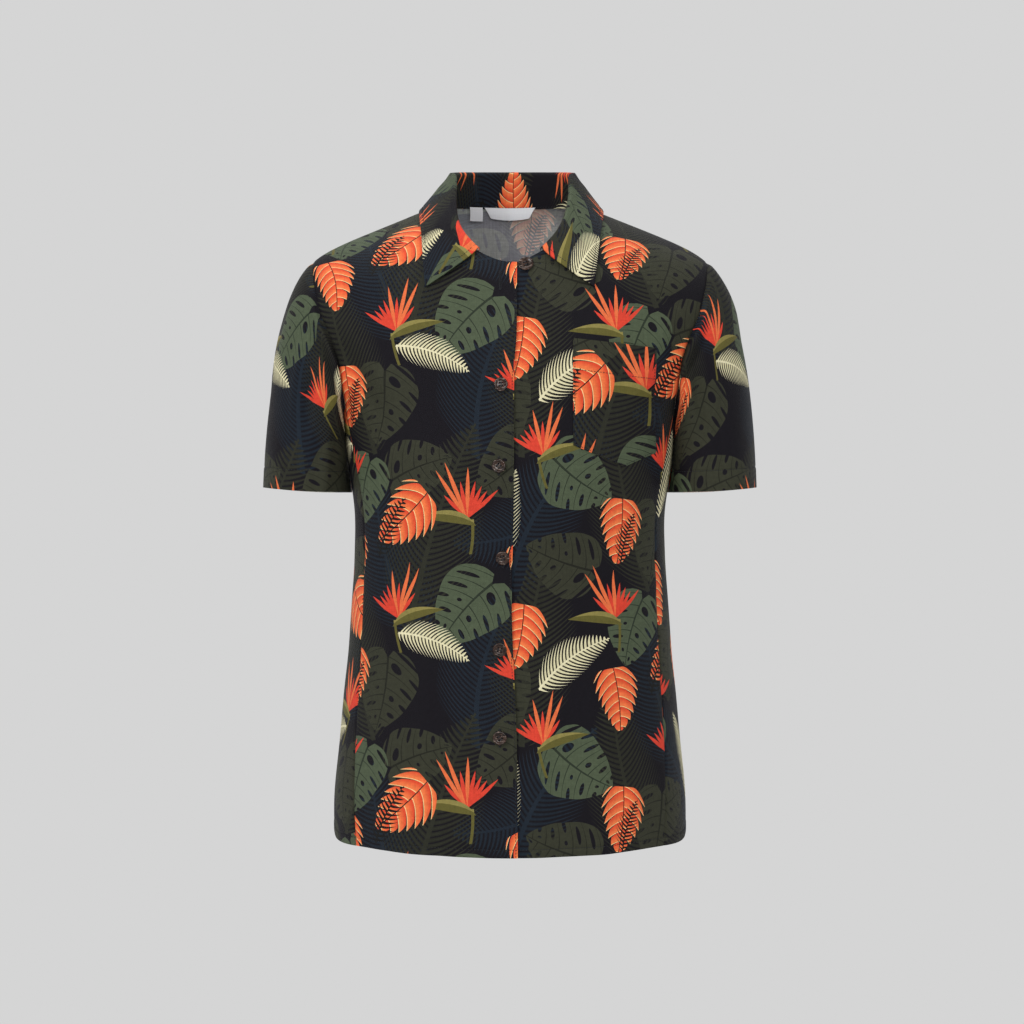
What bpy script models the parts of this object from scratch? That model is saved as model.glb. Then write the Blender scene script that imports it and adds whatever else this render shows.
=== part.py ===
"""Short-sleeved, button-through shirt, hollow and filled out as on a general figure.

Every piece of the cut is its own closed shell: the back, two fronts, two sleeves, a one-piece
collar, a patch pocket, two blank labels and six buttons.

Frame: metres, +Z up, the front faces -Y, and +X is the wearer's left. The origin is on the centre
plane, level with the two points where the shoulder seams meet the collar.
"""

import bisect
import math
from collections import namedtuple

import bmesh
import bpy
from mathutils import Matrix, Vector

# ---------------------------------------------------------------- cloth and gaps
WALL = 0.0012  # cloth wall
COLLAR_WALL = 0.0014  # two layers of cloth and the interlining
LABEL_WALL = 0.0010
SEAM_GAP = 0.0004  # between two pieces at a seam
LAYER_GAP = 0.0006  # between a piece and what lies on it
OVERLAP_GAP = 0.0010  # between the two fronts at the closure

# ---------------------------------------------------------------- driving heights and widths
UNDERARM = -0.200
NECK_HALF_WIDTH = 0.068
NECK_FRONT = -0.062
NECK_BACK = 0.001
NECK_ROUNDNESS = 1.6  # exponent of the front neck curve: 2 would be an ellipse
SQUARENESS = 2.2  # exponent of every body section: 2 would be an ellipse
RIDGE = 8  # station of the shoulder seam in YOKE_ROWS
SHOULDER_BEND = 16  # exponent that keeps the bend close to the shoulder point

# ---------------------------------------------------------------- short tables
Ring = namedtuple("Ring", "height half_width front back seam_turn")
TORSO_RINGS = (
    Ring(-0.640, 0.1703, -0.1175, 0.1195, 58.0),
    Ring(-0.580, 0.1706, -0.1155, 0.1165, 60.0),
    Ring(-0.530, 0.1663, -0.1135, 0.1110, 62.0),
    Ring(-0.480, 0.1613, -0.1120, 0.1040, 63.5),
    Ring(-0.435, 0.1567, -0.1112, 0.0975, 65.0),
    Ring(-0.385, 0.1531, -0.1115, 0.0925, 66.0),
    Ring(-0.340, 0.1502, -0.1130, 0.0915, 67.0),
    Ring(-0.300, 0.1500, -0.1165, 0.0960, 68.0),
    Ring(-0.255, 0.1566, -0.1185, 0.1030, 70.0),
    Ring(UNDERARM, 0.1650, -0.1150, 0.1075, 74.0),
)

Hem = namedtuple("Hem", "turn height")  # turn in degrees from centre front
HEM_LINE = (
    Hem(-20.0, -0.6255),
    Hem(0.0, -0.6271),
    Hem(20.0, -0.6255),
    Hem(30.0, -0.6244),
    Hem(42.0, -0.6222),
    Hem(56.0, -0.6205),
    Hem(70.0, -0.6190),
    Hem(79.0, -0.6160),
    Hem(90.0, -0.6075),
    Hem(102.0, -0.6170),
    Hem(120.0, -0.6230),
    Hem(150.0, -0.6295),
    Hem(180.0, -0.6315),
    Hem(210.0, -0.6295),
)

# Sections over the shoulder, from the front underarm (station 0) over the shoulder seam (RIDGE)
# to the back underarm. centre: on the centre plane. edge: on the armhole. turn: how far the
# section turns to the side on its way there. fall: how its height drops from centre to edge.
# bend: the share of that drop that comes at the very shoulder point.
Yoke = namedtuple("Yoke", "station centre_y centre_z edge_x edge_y edge_z turn fall bend")
YOKE_INNER_ROWS = (
    Yoke(1, -0.1145, -0.1900, 0.1598, -0.0425, -0.1925, 71.5, 2.0, 0.0),
    Yoke(2, -0.1135, -0.1720, 0.1625, -0.0520, -0.1760, 67.5, 2.0, 0.0),
    Yoke(3, -0.1100, -0.1500, 0.1650, -0.0575, -0.1545, 63.0, 2.0, 0.0),
    Yoke(4, -0.1050, -0.1240, 0.1730, -0.0565, -0.1310, 60.0, 2.0, 0.0),
    Yoke(5, -0.0980, -0.0960, 0.1830, -0.0475, -0.1070, 59.0, 1.9, 0.0),
    Yoke(6, -0.0870, -0.0640, 0.1895, -0.0345, -0.0810, 60.0, 1.6, 0.02),
    Yoke(7, -0.0550, -0.0150, 0.1918, -0.0180, -0.0625, 65.0, 1.2, 0.05),
    Yoke(8, 0.0000, 0.0280, 0.1922, 0.0000, -0.0567, 70.0, 1.0, 0.074),
    Yoke(9, 0.0500, 0.0040, 0.1918, 0.0185, -0.0625, 65.0, 1.2, 0.05),
    Yoke(10, 0.0780, -0.0450, 0.1890, 0.0355, -0.0810, 60.0, 1.6, 0.02),
    Yoke(11, 0.0925, -0.0830, 0.1830, 0.0455, -0.1060, 60.0, 1.9, 0.0),
    Yoke(12, 0.1025, -0.1170, 0.1750, 0.0500, -0.1340, 64.0, 2.0, 0.0),
    Yoke(13, 0.1075, -0.1480, 0.1685, 0.0480, -0.1590, 70.0, 2.0, 0.0),
    Yoke(14, 0.1088, -0.1740, 0.1655, 0.0340, -0.1795, 77.0, 2.0, 0.0),
    Yoke(15, 0.1083, -0.1900, 0.1648, 0.0039, -0.1900, 87.0, 2.0, 0.0),
    Yoke(16, 0.1078, -0.1965, 0.1639, -0.0202, -0.1965, 97.0, 2.0, 0.0),
)
LAST_STATION = 17

# Soft folds of the body: a ridge where depth is above zero, a trough where it is below. turn and
# width in degrees from centre front, strongest at the hem and gone at `top`.
Fold = namedtuple("Fold", "turn width depth top")
BODY_FOLDS = (
    Fold(-154.0, 13.0, 0.0030, -0.33),
    Fold(-122.0, 12.0, -0.0028, -0.30),
    Fold(-38.0, 7.0, 0.0022, -0.36),
    Fold(-25.0, 6.0, -0.0018, -0.42),
    Fold(33.0, 9.0, 0.0020, -0.32),
    Fold(51.0, 7.0, -0.0018, -0.38),
    Fold(128.0, 12.0, -0.0028, -0.31),
    Fold(160.0, 14.0, 0.0030, -0.34),
)

# ---------------------------------------------------------------- closure
UNDER_EDGE = -0.022  # hidden centre edge of the left front
TUCK_START = 0.009  # the left front lies under the right one up to here
TUCK_END = 0.028  # and is back on the body form from here on
Edge = namedtuple("Edge", "height x")  # visible centre edge of the right front
OVER_EDGE = (
    Edge(-0.640, 0.0076),
    Edge(-0.515, 0.0064),
    Edge(-0.430, 0.0030),
    Edge(-0.385, 0.0018),
    Edge(-0.290, 0.0036),
    Edge(-0.165, 0.0042),
    Edge(-0.130, 0.0064),
    Edge(-0.062, 0.0067),
)

# ---------------------------------------------------------------- sleeves
Cuff = namedtuple("Cuff", "inner_x outer_x depth inner_z outer_z middle_y")
CUFF = Cuff(0.1552, 0.2416, 0.0570, -0.2807, -0.2759, 0.002)
CUFF_FLATNESS = 0.68  # below 1 the cuff's inner half is flatter than an ellipse
CUFF_RISE = 2.5  # how late its edge turns up towards the outer side
CAP_TURN = 51.0  # degrees from straight down at which the sleeve leaves the shoulder point
CAP_REACH = 0.156
UNDER_REACH = 0.030
CUFF_REACH = 0.235
CAP_FULLNESS = 0.035  # how far the cap is pushed forward and back
CLOSE_TO_BODY = 0.0013

# ---------------------------------------------------------------- collar
COLLAR_START = 0.0303  # x of the collar's front ends on the neck curve
ROLL_RADIUS = 0.0021
LEAF_CLEARANCE = 0.0014
COLLAR_GAP = 0.0008  # between the neck edge and the collar inside it
COLLAR_TILT = 0.0025  # how far the top of the collar leans towards +X
# along: 0 at the front end of the collar, 1 at centre back. rise and lean: of the roll over the
# neck seam. edge: where the leaf's edge lies over the shoulders.
Leaf = namedtuple("Leaf", "along rise lean edge_station edge_x")
COLLAR_LEAF = (
    Leaf(0.00, 0.0030, 0.0000, 5.42, 0.0800),
    Leaf(0.15, 0.0090, 0.0025, 6.02, 0.0820),
    Leaf(0.30, 0.0180, 0.0075, 6.85, 0.0850),
    Leaf(0.47, 0.0285, 0.0115, 8.00, 0.0885),
    Leaf(0.64, 0.0330, 0.0090, 9.10, 0.0805),
    Leaf(0.82, 0.0350, 0.0040, 9.48, 0.0430),
    Leaf(1.00, 0.0360, 0.0020, 9.56, 0.0000),
)
NECK_AXIS_Y = -0.012

# ---------------------------------------------------------------- pocket, labels, buttons
Patch = namedtuple("Patch", "left_x right_x left_top right_top left_low right_low point_x point_z")
POCKET = Patch(0.0596, 0.1385, -0.1354, -0.1435, -0.2370, -0.2430, 0.1080, -0.2570)
Label = namedtuple("Label", "left_x right_x top corner_low middle_low")
NECK_LABEL = Label(-0.0265, 0.0265, 0.0022, -0.0070, -0.0100)
SIZE_LABEL = Label(-0.0415, -0.0285, 0.0022, -0.0115, -0.0115)

BUTTON_THICKNESS = 0.0026
BUTTON_RIM = 0.0013
BUTTON_DISH = 0.0007  # the middle of the face lies this much below the rim
Button = namedtuple("Button", "x height radius")
OPEN_BUTTON = Button(0.0155, -0.0640, 0.0074)
FASTENED_BUTTONS = (
    Button(-0.0085, -0.1795, 0.0066),
    Button(-0.0104, -0.2565, 0.0066),
    Button(-0.0068, -0.3435, 0.0066),
    Button(-0.0095, -0.4305, 0.0066),
    Button(-0.0095, -0.5137, 0.0066),
)

# ---------------------------------------------------------------- mesh density
TORSO_STEPS = 13
FRONT_COLUMNS = 12
BACK_COLUMNS = 26
SLEEVE_STEPS = 11
COLLAR_STATIONS = 19  # on each side
ARMHOLE_LEVELS = (1.0, 1.5, 2.0, 2.6, 3.3, 4.0, 4.8, 5.6, 6.4)  # below the front neck
ARMHOLE_BACK_LEVELS = (1.0, 2.0, 3.0, 3.5, 4.0, 4.7, 5.5, 6.3, 7.1, 7.9, 8.5)  # below the back neck
NECK_ROWS = 10
BACK_NECK_ROWS = 7
POCKET_COLUMNS = 10
POCKET_ROWS = 8
LABEL_COLUMNS = 8
LABEL_ROWS = 3

NAVY = (0.008, 0.011, 0.022)
DARK_HORN = (0.045, 0.022, 0.012)
LABEL_WHITE = (0.80, 0.80, 0.80)


# ---------------------------------------------------------------- small helpers
def mix(low, high, share):
    return low + (high - low) * share


def smooth_step(value, low, high):
    share = min(max((value - low) / (high - low), 0.0), 1.0)
    return share * share * (3.0 - 2.0 * share)


def squarish(value):
    """A sine or cosine bent to the squarer oval of the body sections."""
    return math.copysign(abs(value) ** (2.0 / SQUARENESS), value)


def unsquarish(value):
    return math.copysign(abs(value) ** (SQUARENESS / 2.0), value)


def look_up(table, place):
    """The table's row at a place between its rows, on a smooth curve through all of them."""
    place = min(max(place, table[0][0]), table[-1][0])
    keys = [row[0] for row in table]
    left = min(bisect.bisect_right(keys, place) - 1, len(table) - 2)
    last = len(table) - 1
    near = [table[max(left - 1, 0)], table[left], table[left + 1], table[min(left + 2, last)]]
    span = near[2][0] - near[1][0]
    f = (place - near[1][0]) / span
    values = []
    for before, a, b, after in zip(*near):
        slope_a = (b - before) / (near[2][0] - near[0][0]) * span
        slope_b = (after - a) / (near[3][0] - near[1][0]) * span
        values.append(
            a * (2 * f**3 - 3 * f**2 + 1)
            + slope_a * (f**3 - 2 * f**2 + f)
            + b * (3 * f**2 - 2 * f**3)
            + slope_b * (f**3 - f**2)
        )
    return type(table[0])(*values)


def crossing(function, low, high):
    """Where the function passes zero between low and high."""
    sign = 1.0 if function(low) > 0.0 else -1.0
    for _ in range(40):
        middle = 0.5 * (low + high)
        if function(middle) * sign > 0.0:
            low = middle
        else:
            high = middle
    return 0.5 * (low + high)


# ---------------------------------------------------------------- the body form
def fold_depth(turn, height, hem):
    depth = 0.0
    for fold in BODY_FOLDS:
        away = (turn - fold.turn + 180.0) % 360.0 - 180.0
        strength = smooth_step(fold.top - height, 0.0, fold.top - hem)
        depth += fold.depth * math.exp(-((away / fold.width) ** 2)) * strength
    return depth


def hem_height(turn):
    return look_up(HEM_LINE, abs(turn)).height


def ring_point(turn, height):
    """A point of the torso, turn degrees round from centre front, towards +X when positive."""
    ring = look_up(TORSO_RINGS, height)
    middle = 0.5 * (ring.front + ring.back)
    depth = 0.5 * (ring.back - ring.front)
    side = squarish(math.sin(math.radians(turn)))
    ahead = squarish(math.cos(math.radians(turn)))
    outward = Vector((side / ring.half_width, -ahead / depth, 0.0)).normalized()
    point = Vector((ring.half_width * side, middle - depth * ahead, height))
    return point + outward * fold_depth(turn, height, HEM_LINE[1].height)


def underarm_row(station, turn):
    """The first or last yoke row: the topmost torso ring, up to the side seam."""
    ring = TORSO_RINGS[-1]
    centre_y = ring.front if station < RIDGE else ring.back
    seam = ring_point(ring.seam_turn, UNDERARM)
    return Yoke(station, centre_y, UNDERARM, seam.x, seam.y, UNDERARM, turn, 2.0, 0.0)


YOKE_ROWS = (
    underarm_row(0, TORSO_RINGS[-1].seam_turn),
    *YOKE_INNER_ROWS,
    underarm_row(LAST_STATION, 180.0 - TORSO_RINGS[-1].seam_turn),
)


def yoke_point(station, turn):
    """A point over the shoulder; turn is counted from the centre of its own side of the body."""
    row = look_up(YOKE_ROWS, station)
    across = squarish(math.sin(math.radians(turn))) / squarish(math.sin(math.radians(row.turn)))
    back = 1.0 - squarish(math.cos(math.radians(turn)))
    back /= 1.0 - squarish(math.cos(math.radians(row.turn)))
    reach = min(abs(across), 1.05)
    fallen = mix(reach**row.fall, reach**SHOULDER_BEND, row.bend)
    height = mix(row.centre_z, row.edge_z, fallen)
    return Vector((row.edge_x * across, mix(row.centre_y, row.edge_y, back), height))


def yoke_turn(station, x):
    """The turn at which a yoke row passes x."""
    row = look_up(YOKE_ROWS, station)
    share = x / row.edge_x * squarish(math.sin(math.radians(row.turn)))
    return math.degrees(math.asin(min(max(unsquarish(share), -1.0), 1.0)))


def front_point(level, turn):
    """level: 0 at the hem, 1 at the underarm, 1 + RIDGE at the shoulder seam."""
    if level > 1.0:
        return yoke_point(level - 1.0, turn)
    return ring_point(turn, mix(hem_height(turn), UNDERARM, level))


def back_point(level, turn):
    """The same for the back, with turn counted from centre back."""
    if level > 1.0:
        return yoke_point(LAST_STATION - (level - 1.0), turn)
    around = math.copysign(180.0 - abs(turn), turn)
    return ring_point(around, mix(hem_height(around), UNDERARM, level))


def outward_normal(surface, level, turn):
    step = 0.01
    across = surface(level, turn + 1.0) - surface(level, turn - 1.0)
    upward = surface(level + step, turn) - surface(level - step, turn)
    normal = across.cross(upward).normalized()
    return -normal if surface is back_point else normal


def lifted(surface, level, turn, lift):
    return surface(level, turn) + outward_normal(surface, level, turn) * lift


def place_at(surface, x, height):
    """The level and turn at which a front or back surface passes x and height."""
    top = 1.0 + RIDGE if surface is front_point else 1.0 + LAST_STATION - RIDGE

    def turn_at(level):
        if level > 1.0:
            station = level - 1.0 if surface is front_point else LAST_STATION - level + 1.0
            return yoke_turn(station, x)
        ring = look_up(TORSO_RINGS, mix(HEM_LINE[1].height, UNDERARM, level))
        return math.degrees(math.asin(unsquarish(x / ring.half_width)))

    level = crossing(lambda value: surface(value, turn_at(value)).z - height, 0.0, top)
    return level, turn_at(level)


# ---------------------------------------------------------------- edges of the panels
def front_neck_height(x):
    share = min(abs(x) / NECK_HALF_WIDTH, 1.0)
    return NECK_FRONT * (1.0 - share**NECK_ROUNDNESS) ** (1.0 / NECK_ROUNDNESS)


def back_neck_height(x):
    share = min(abs(x) / NECK_HALF_WIDTH, 1.0)
    return NECK_BACK * (1.0 - share**2)


def neck_turn(station):
    """The turn at which the neck curve crosses a yoke row."""
    if not FRONT_NECK_STATION < station < BACK_NECK_STATION:
        return 0.0
    neck_height = front_neck_height if station < RIDGE else back_neck_height
    row = look_up(YOKE_ROWS, station)

    def above(turn):
        point = yoke_point(station, turn)
        return point.z - neck_height(point.x)

    return crossing(above, 0.0, row.turn)


FRONT_NECK_STATION = crossing(lambda s: yoke_point(s, 0.0).z - NECK_FRONT, 0.0, RIDGE)
BACK_NECK_STATION = crossing(lambda s: yoke_point(s, 0.0).z - NECK_BACK, RIDGE, LAST_STATION)
FRONT_NECK_LEVEL = 1.0 + FRONT_NECK_STATION
BACK_NECK_LEVEL = 1.0 + LAST_STATION - BACK_NECK_STATION


def seam_turn(level):
    """Where the front ends: the side seam up to the underarm, the armhole above it."""
    if level > 1.0:
        return look_up(YOKE_ROWS, level - 1.0).turn
    return look_up(TORSO_RINGS, mix(HEM_LINE[1].height, UNDERARM, level)).seam_turn


def back_seam_turn(level):
    if level > 1.0:
        return look_up(YOKE_ROWS, LAST_STATION - (level - 1.0)).turn
    return 180.0 - seam_turn(level)


def shrunk(turn, level, surface, gap):
    """A seam turn drawn back by a gap along the cloth."""
    arc = (surface(level, turn) - surface(level, turn - 1.0)).length
    return turn - gap / arc


def evenly_along(places, count):
    """Places on the yoke at even distances along the polyline through the given ones."""
    points = [yoke_point(*place) for place in places]
    reached = [0.0]
    for a, b in zip(points, points[1:]):
        reached.append(reached[-1] + (b - a).length)
    spread = []
    for step in range(count + 1):
        goal = reached[-1] * step / count
        index = min(bisect.bisect_right(reached, goal) - 1, len(places) - 2)
        share = (goal - reached[index]) / (reached[index + 1] - reached[index])
        start, end = places[index], places[index + 1]
        spread.append((mix(start[0], end[0], share), mix(start[1], end[1], share)))
    return spread


def neck_places(first, last):
    """Stations and turns along the neck seam, close together where it runs level with the rows."""
    steps = [math.sin(0.5 * math.pi * step / 60) ** 2 for step in range(61)]
    return [(station, neck_turn(station)) for station in (mix(first, last, step) for step in steps)]


def front_levels():
    neck = evenly_along(neck_places(FRONT_NECK_STATION, RIDGE), NECK_ROWS)
    torso = [step / TORSO_STEPS for step in range(TORSO_STEPS)]
    return torso + list(ARMHOLE_LEVELS) + [1.0 + station for station, _ in neck]


def back_levels():
    neck = evenly_along(neck_places(BACK_NECK_STATION, RIDGE), BACK_NECK_ROWS)
    torso = [step / TORSO_STEPS for step in range(TORSO_STEPS)]
    return torso + list(ARMHOLE_BACK_LEVELS) + [1.0 + LAST_STATION - station for station, _ in neck]


# ---------------------------------------------------------------- objects
def finish_material(name, colour, roughness):
    material = bpy.data.materials.new(name)
    material.use_nodes = True
    shader = material.node_tree.nodes["Principled BSDF"]
    shader.inputs["Base Color"].default_value = (*colour, 1.0)
    shader.inputs["Roughness"].default_value = roughness
    shader.inputs["Metallic"].default_value = 0.0
    return material


def add_object(name, mesh, colour, roughness):
    mesh.materials.append(finish_material(name, colour, roughness))
    piece = bpy.data.objects.new(name, mesh)
    bpy.data.collections["shirt"].objects.link(piece)
    return piece


def add_faces(shape, rows, flip, round_closed=False):
    """Faces between rows of vertices: rows upward, columns towards +X seen from outside."""
    columns = len(rows[0])
    for lower, upper in zip(rows, rows[1:]):
        for column in range(columns if round_closed else columns - 1):
            following = (column + 1) % columns
            corners = [lower[column], lower[following], upper[following], upper[column]]
            shape.faces.new(reversed(corners) if flip else corners)


def walled(name, shape, wall, colour=NAVY, inward=False):
    """An object that gives an open surface a solid wall, outward or inward of it."""
    mesh = bpy.data.meshes.new(name)
    shape.to_mesh(mesh)
    shape.free()
    mesh.shade_smooth()
    piece = add_object(name, mesh, colour, 0.65)
    thick = piece.modifiers.new("wall", "SOLIDIFY")
    thick.thickness = wall
    thick.offset = -1.0 if inward else 1.0
    thick.use_even_offset = True
    return piece


def cloth_shell(name, grid, wall, colour=NAVY, inward=False, flip=False, round_closed=False):
    """A solid wall on a grid of points."""
    shape = bmesh.new()
    rows = [[shape.verts.new(point) for point in row] for row in grid]
    add_faces(shape, rows, flip, round_closed)
    return walled(name, shape, wall, colour, inward)


# ---------------------------------------------------------------- fronts and back
def over_edge_turn(level, side):
    """Turn of the centre edge of a front, counted towards its own side."""
    height = front_point(level, 0.0).z
    x = -look_up(OVER_EDGE, height).x if side < 0 else UNDER_EDGE
    if level > 1.0:
        return yoke_turn(level - 1.0, x)
    ring = look_up(TORSO_RINGS, height)
    return math.degrees(math.asin(unsquarish(x / ring.half_width)))


def tucked_front(level, turn):
    """The left front, drawn in where it lies under the right one."""
    point = front_point(level, turn)
    under = 1.0 - smooth_step(point.x, TUCK_START, TUCK_END)
    return point - outward_normal(front_point, level, turn) * (WALL + OVERLAP_GAP) * under


def front_row(level, side):
    above_neck = level > FRONT_NECK_LEVEL + 1e-6
    start = neck_turn(level - 1.0) if above_neck else over_edge_turn(level, side)
    end = shrunk(seam_turn(level), level, front_point, 0.5 * SEAM_GAP)
    return [mix(start, end, column / FRONT_COLUMNS) for column in range(FRONT_COLUMNS + 1)]


def build_front(name, side):
    surface = front_point if side < 0 else tucked_front
    grid = []
    levels = front_levels()
    for level in levels:
        at_shoulder = level == levels[-1]
        row = []
        for turn in front_row(level, side):
            point = surface(level, turn)
            row.append(Vector((side * point.x, point.y - 0.5 * SEAM_GAP * at_shoulder, point.z)))
        grid.append(row)
    return cloth_shell(name, grid, WALL, flip=side < 0)


def back_row(level):
    """Turns of a back row from the -X side seam to the +X one, or of its +X half above the neck."""
    end = shrunk(back_seam_turn(level), level, back_point, 0.5 * SEAM_GAP)
    half = BACK_COLUMNS // 2
    if level <= BACK_NECK_LEVEL + 1e-6:
        return [mix(-end, end, column / BACK_COLUMNS) for column in range(BACK_COLUMNS + 1)]
    start = neck_turn(LAST_STATION - (level - 1.0))
    return [mix(start, end, column / half) for column in range(half + 1)]


def build_back():
    """One piece: a full-width body, with the two shoulders rising beside the neck."""
    shape = bmesh.new()
    body = []
    shoulders = {-1: [], 1: []}
    levels = back_levels()
    for level in levels:
        points = [back_point(level, turn) for turn in back_row(level)]
        if level <= BACK_NECK_LEVEL + 1e-6:
            body.append([shape.verts.new(point) for point in points])
            continue
        shift = 0.5 * SEAM_GAP * (level == levels[-1])
        for side, rows in shoulders.items():
            rows.append([shape.verts.new((side * x, y + shift, z)) for x, y, z in points])
    add_faces(shape, body, flip=True)
    half = BACK_COLUMNS // 2
    for side, rows in shoulders.items():
        add_faces(shape, [body[-1][half::side], *rows], flip=side > 0)
    return walled("back", shape, WALL)


# ---------------------------------------------------------------- sleeves
def armhole_loop():
    """Points and panel normals round the left armhole: up the front, over, and down the back."""
    loop = []
    for level in front_levels()[TORSO_STEPS:]:
        turn = seam_turn(level)
        loop.append((front_point(level, turn), outward_normal(front_point, level, turn)))
    for level in reversed(back_levels()[TORSO_STEPS + 1 : -1]):
        turn = back_seam_turn(level)
        loop.append((back_point(level, turn), outward_normal(back_point, level, turn)))
    return loop


def round_shares(points):
    """How far round a closed loop each point lies, from 0 to 1."""
    lengths = [(b - a).length for a, b in zip(points, points[1:] + points[:1])]
    total = sum(lengths)
    return [sum(lengths[:index]) / total for index in range(len(points))]


def clear_of_torso(point):
    """The point, moved sideways where it would touch the torso."""
    ring = look_up(TORSO_RINGS, point.z)
    middle = 0.5 * (ring.front + ring.back)
    depth = 0.5 * (ring.back - ring.front)
    across = min(abs((point.y - middle) / depth), 1.0)
    body_x = ring.half_width * (1.0 - across**SQUARENESS) ** (1.0 / SQUARENESS)
    return Vector((max(point.x, body_x + WALL + CLOSE_TO_BODY), point.y, point.z))


def sleeve_point(start, share, along):
    """A point on the way from the armhole to the cuff, share of the way round from the underarm."""
    angle = math.tau * share
    up = 0.5 * (1.0 - math.cos(angle))
    forward = abs(math.sin(angle)) ** mix(CUFF_FLATNESS, 1.0, up)
    cuff = Vector((
        mix(CUFF.inner_x, CUFF.outer_x, up),
        CUFF.middle_y - math.copysign(CUFF.depth * forward, math.sin(angle)),
        mix(CUFF.inner_z, CUFF.outer_z, up**CUFF_RISE),
    ))
    turn = math.radians(mix(0.0, CAP_TURN, up))
    reach = mix(UNDER_REACH, CAP_REACH, up)
    leave = Vector((math.sin(turn), 0.0, -math.cos(turn))) * reach
    leave.y -= CAP_FULLNESS * math.sin(angle)
    arrive = Vector((0.008 * up, 0.0, -mix(0.5, 1.0, up) * CUFF_REACH))
    return (
        start * (2 * along**3 - 3 * along**2 + 1)
        + leave * (along**3 - 2 * along**2 + along)
        + cuff * (3 * along**2 - 2 * along**3)
        + arrive * (along**3 - along**2)
    )


def build_sleeve(name, side):
    loop = armhole_loop()
    shares = round_shares([point for point, _ in loop])
    starts = [point + normal * (WALL + LAYER_GAP) for point, normal in loop]
    grid = []
    for step in range(SLEEVE_STEPS + 1):
        along = (step / SLEEVE_STEPS) ** 1.15
        row = []
        for start, share in zip(starts, shares):
            gap = (sleeve_point(start, share, 0.01) - start).normalized() * SEAM_GAP
            point = clear_of_torso(sleeve_point(start + gap, share, along))
            row.append(Vector((side * point.x, point.y, point.z)))
        grid.append(row)
    grid.reverse()
    return cloth_shell(name, grid, WALL, inward=True, flip=side < 0, round_closed=True)


# ---------------------------------------------------------------- collar
def collar_places(count):
    """Places along the neck seam, from the collar's front end to centre back."""

    def beyond_start(station):
        return yoke_point(station, neck_turn(station)).x - COLLAR_START

    first = crossing(beyond_start, FRONT_NECK_STATION + 1e-4, RIDGE - 0.5)
    places = neck_places(first, RIDGE) + neck_places(RIDGE, BACK_NECK_STATION)[1:]
    return evenly_along(places, count)


def from_neck_axis(point):
    return Vector((point.x, point.y - NECK_AXIS_Y, 0.0)).normalized()


def yoke_normal(station, turn):
    across = yoke_point(station, turn + 1.0) - yoke_point(station, turn - 1.0)
    onward = yoke_point(station + 0.01, turn) - yoke_point(station - 0.01, turn)
    return across.cross(onward).normalized()


def collar_section(station, turn, along, side):
    """One section of the collar, from the neck seam over the roll to the leaf's edge."""
    leaf = look_up(COLLAR_LEAF, along)
    seam = yoke_point(station, turn)
    outward = from_neck_axis(seam)
    seam = seam - outward * COLLAR_GAP
    up = Vector((0.0, 0.0, 1.0))
    straight = leaf.rise - ROLL_RADIUS
    tilt = side * COLLAR_TILT * smooth_step(along, 0.1, 0.4)
    top = up * straight - outward * leaf.lean + Vector((tilt, 0.0, 0.0))
    section = [seam + top * share for share in (0.0, 0.5, 1.0)]
    for step in range(1, 5):
        angle = math.pi * step / 5
        turned = outward * (1.0 - math.cos(angle)) + up * math.sin(angle)
        section.append(seam + top + turned * ROLL_RADIUS)
    seam_x = seam.x
    for step in range(9):
        share = step / 8
        base_station = mix(station, leaf.edge_station, share)
        base_turn = yoke_turn(base_station, mix(seam_x, leaf.edge_x, share))
        base = yoke_point(base_station, base_turn)
        base += yoke_normal(base_station, base_turn) * (WALL + LEAF_CLEARANCE) * min(1.0, 3 * share)
        remains = 1.0 - share
        base.x += tilt * share * 0.5
        section.append(base + top * remains + outward * 2.0 * ROLL_RADIUS * remains)
    return [Vector((side * point.x, point.y, point.z)) for point in section]


def build_collar():
    halves = {-1: [], 1: []}
    for step, (station, turn) in enumerate(collar_places(COLLAR_STATIONS)):
        for side, sections in halves.items():
            sections.append(collar_section(station, turn, step / COLLAR_STATIONS, side))
    middle = [0.5 * (a + b) for a, b in zip(halves[1].pop(), halves[-1].pop())]
    return cloth_shell("collar", [*halves[1], middle, *reversed(halves[-1])], COLLAR_WALL)


# ---------------------------------------------------------------- pocket and labels
def patch_low(patch, x):
    """The height of the pointed lower edge of a patch."""
    if x < patch.point_x:
        share = (x - patch.left_x) / (patch.point_x - patch.left_x)
        return mix(patch.left_low, patch.point_z, share)
    share = (patch.right_x - x) / (patch.right_x - patch.point_x)
    return mix(patch.right_low, patch.point_z, share)


def patch_grid(patch, surface, lift, columns, rows):
    """Points of a five-sided patch that lies on a surface."""
    grid = []
    for row in range(rows + 1):
        line = []
        for column in range(columns + 1):
            share = column / columns
            x = mix(patch.left_x, patch.right_x, share)
            top = mix(patch.left_top, patch.right_top, share)
            level, turn = place_at(surface, x, mix(patch_low(patch, x), top, row / rows))
            line.append(lifted(surface, level, turn, lift))
        grid.append(line)
    return grid


def build_pocket():
    grid = patch_grid(POCKET, front_point, WALL + LAYER_GAP, POCKET_COLUMNS, POCKET_ROWS)
    return cloth_shell("pocket", grid, WALL)


def build_label(name, label):
    """A label that hangs straight down from the neck seam, just inside the collar."""
    grid = [[] for _ in range(LABEL_ROWS + 1)]
    for column in range(LABEL_COLUMNS + 1):
        share = column / LABEL_COLUMNS
        x = mix(label.left_x, label.right_x, share)
        seam = back_point(*place_at(back_point, x, back_neck_height(x)))
        inside = seam - from_neck_axis(seam) * (COLLAR_GAP + COLLAR_WALL + LAYER_GAP)
        low = mix(label.middle_low, label.corner_low, (2.0 * share - 1.0) ** 2)
        for row, line in enumerate(grid):
            line.append(Vector((inside.x, inside.y, mix(low, label.top, row / LABEL_ROWS))))
    return cloth_shell(name, grid, LABEL_WALL, colour=LABEL_WHITE)


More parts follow.
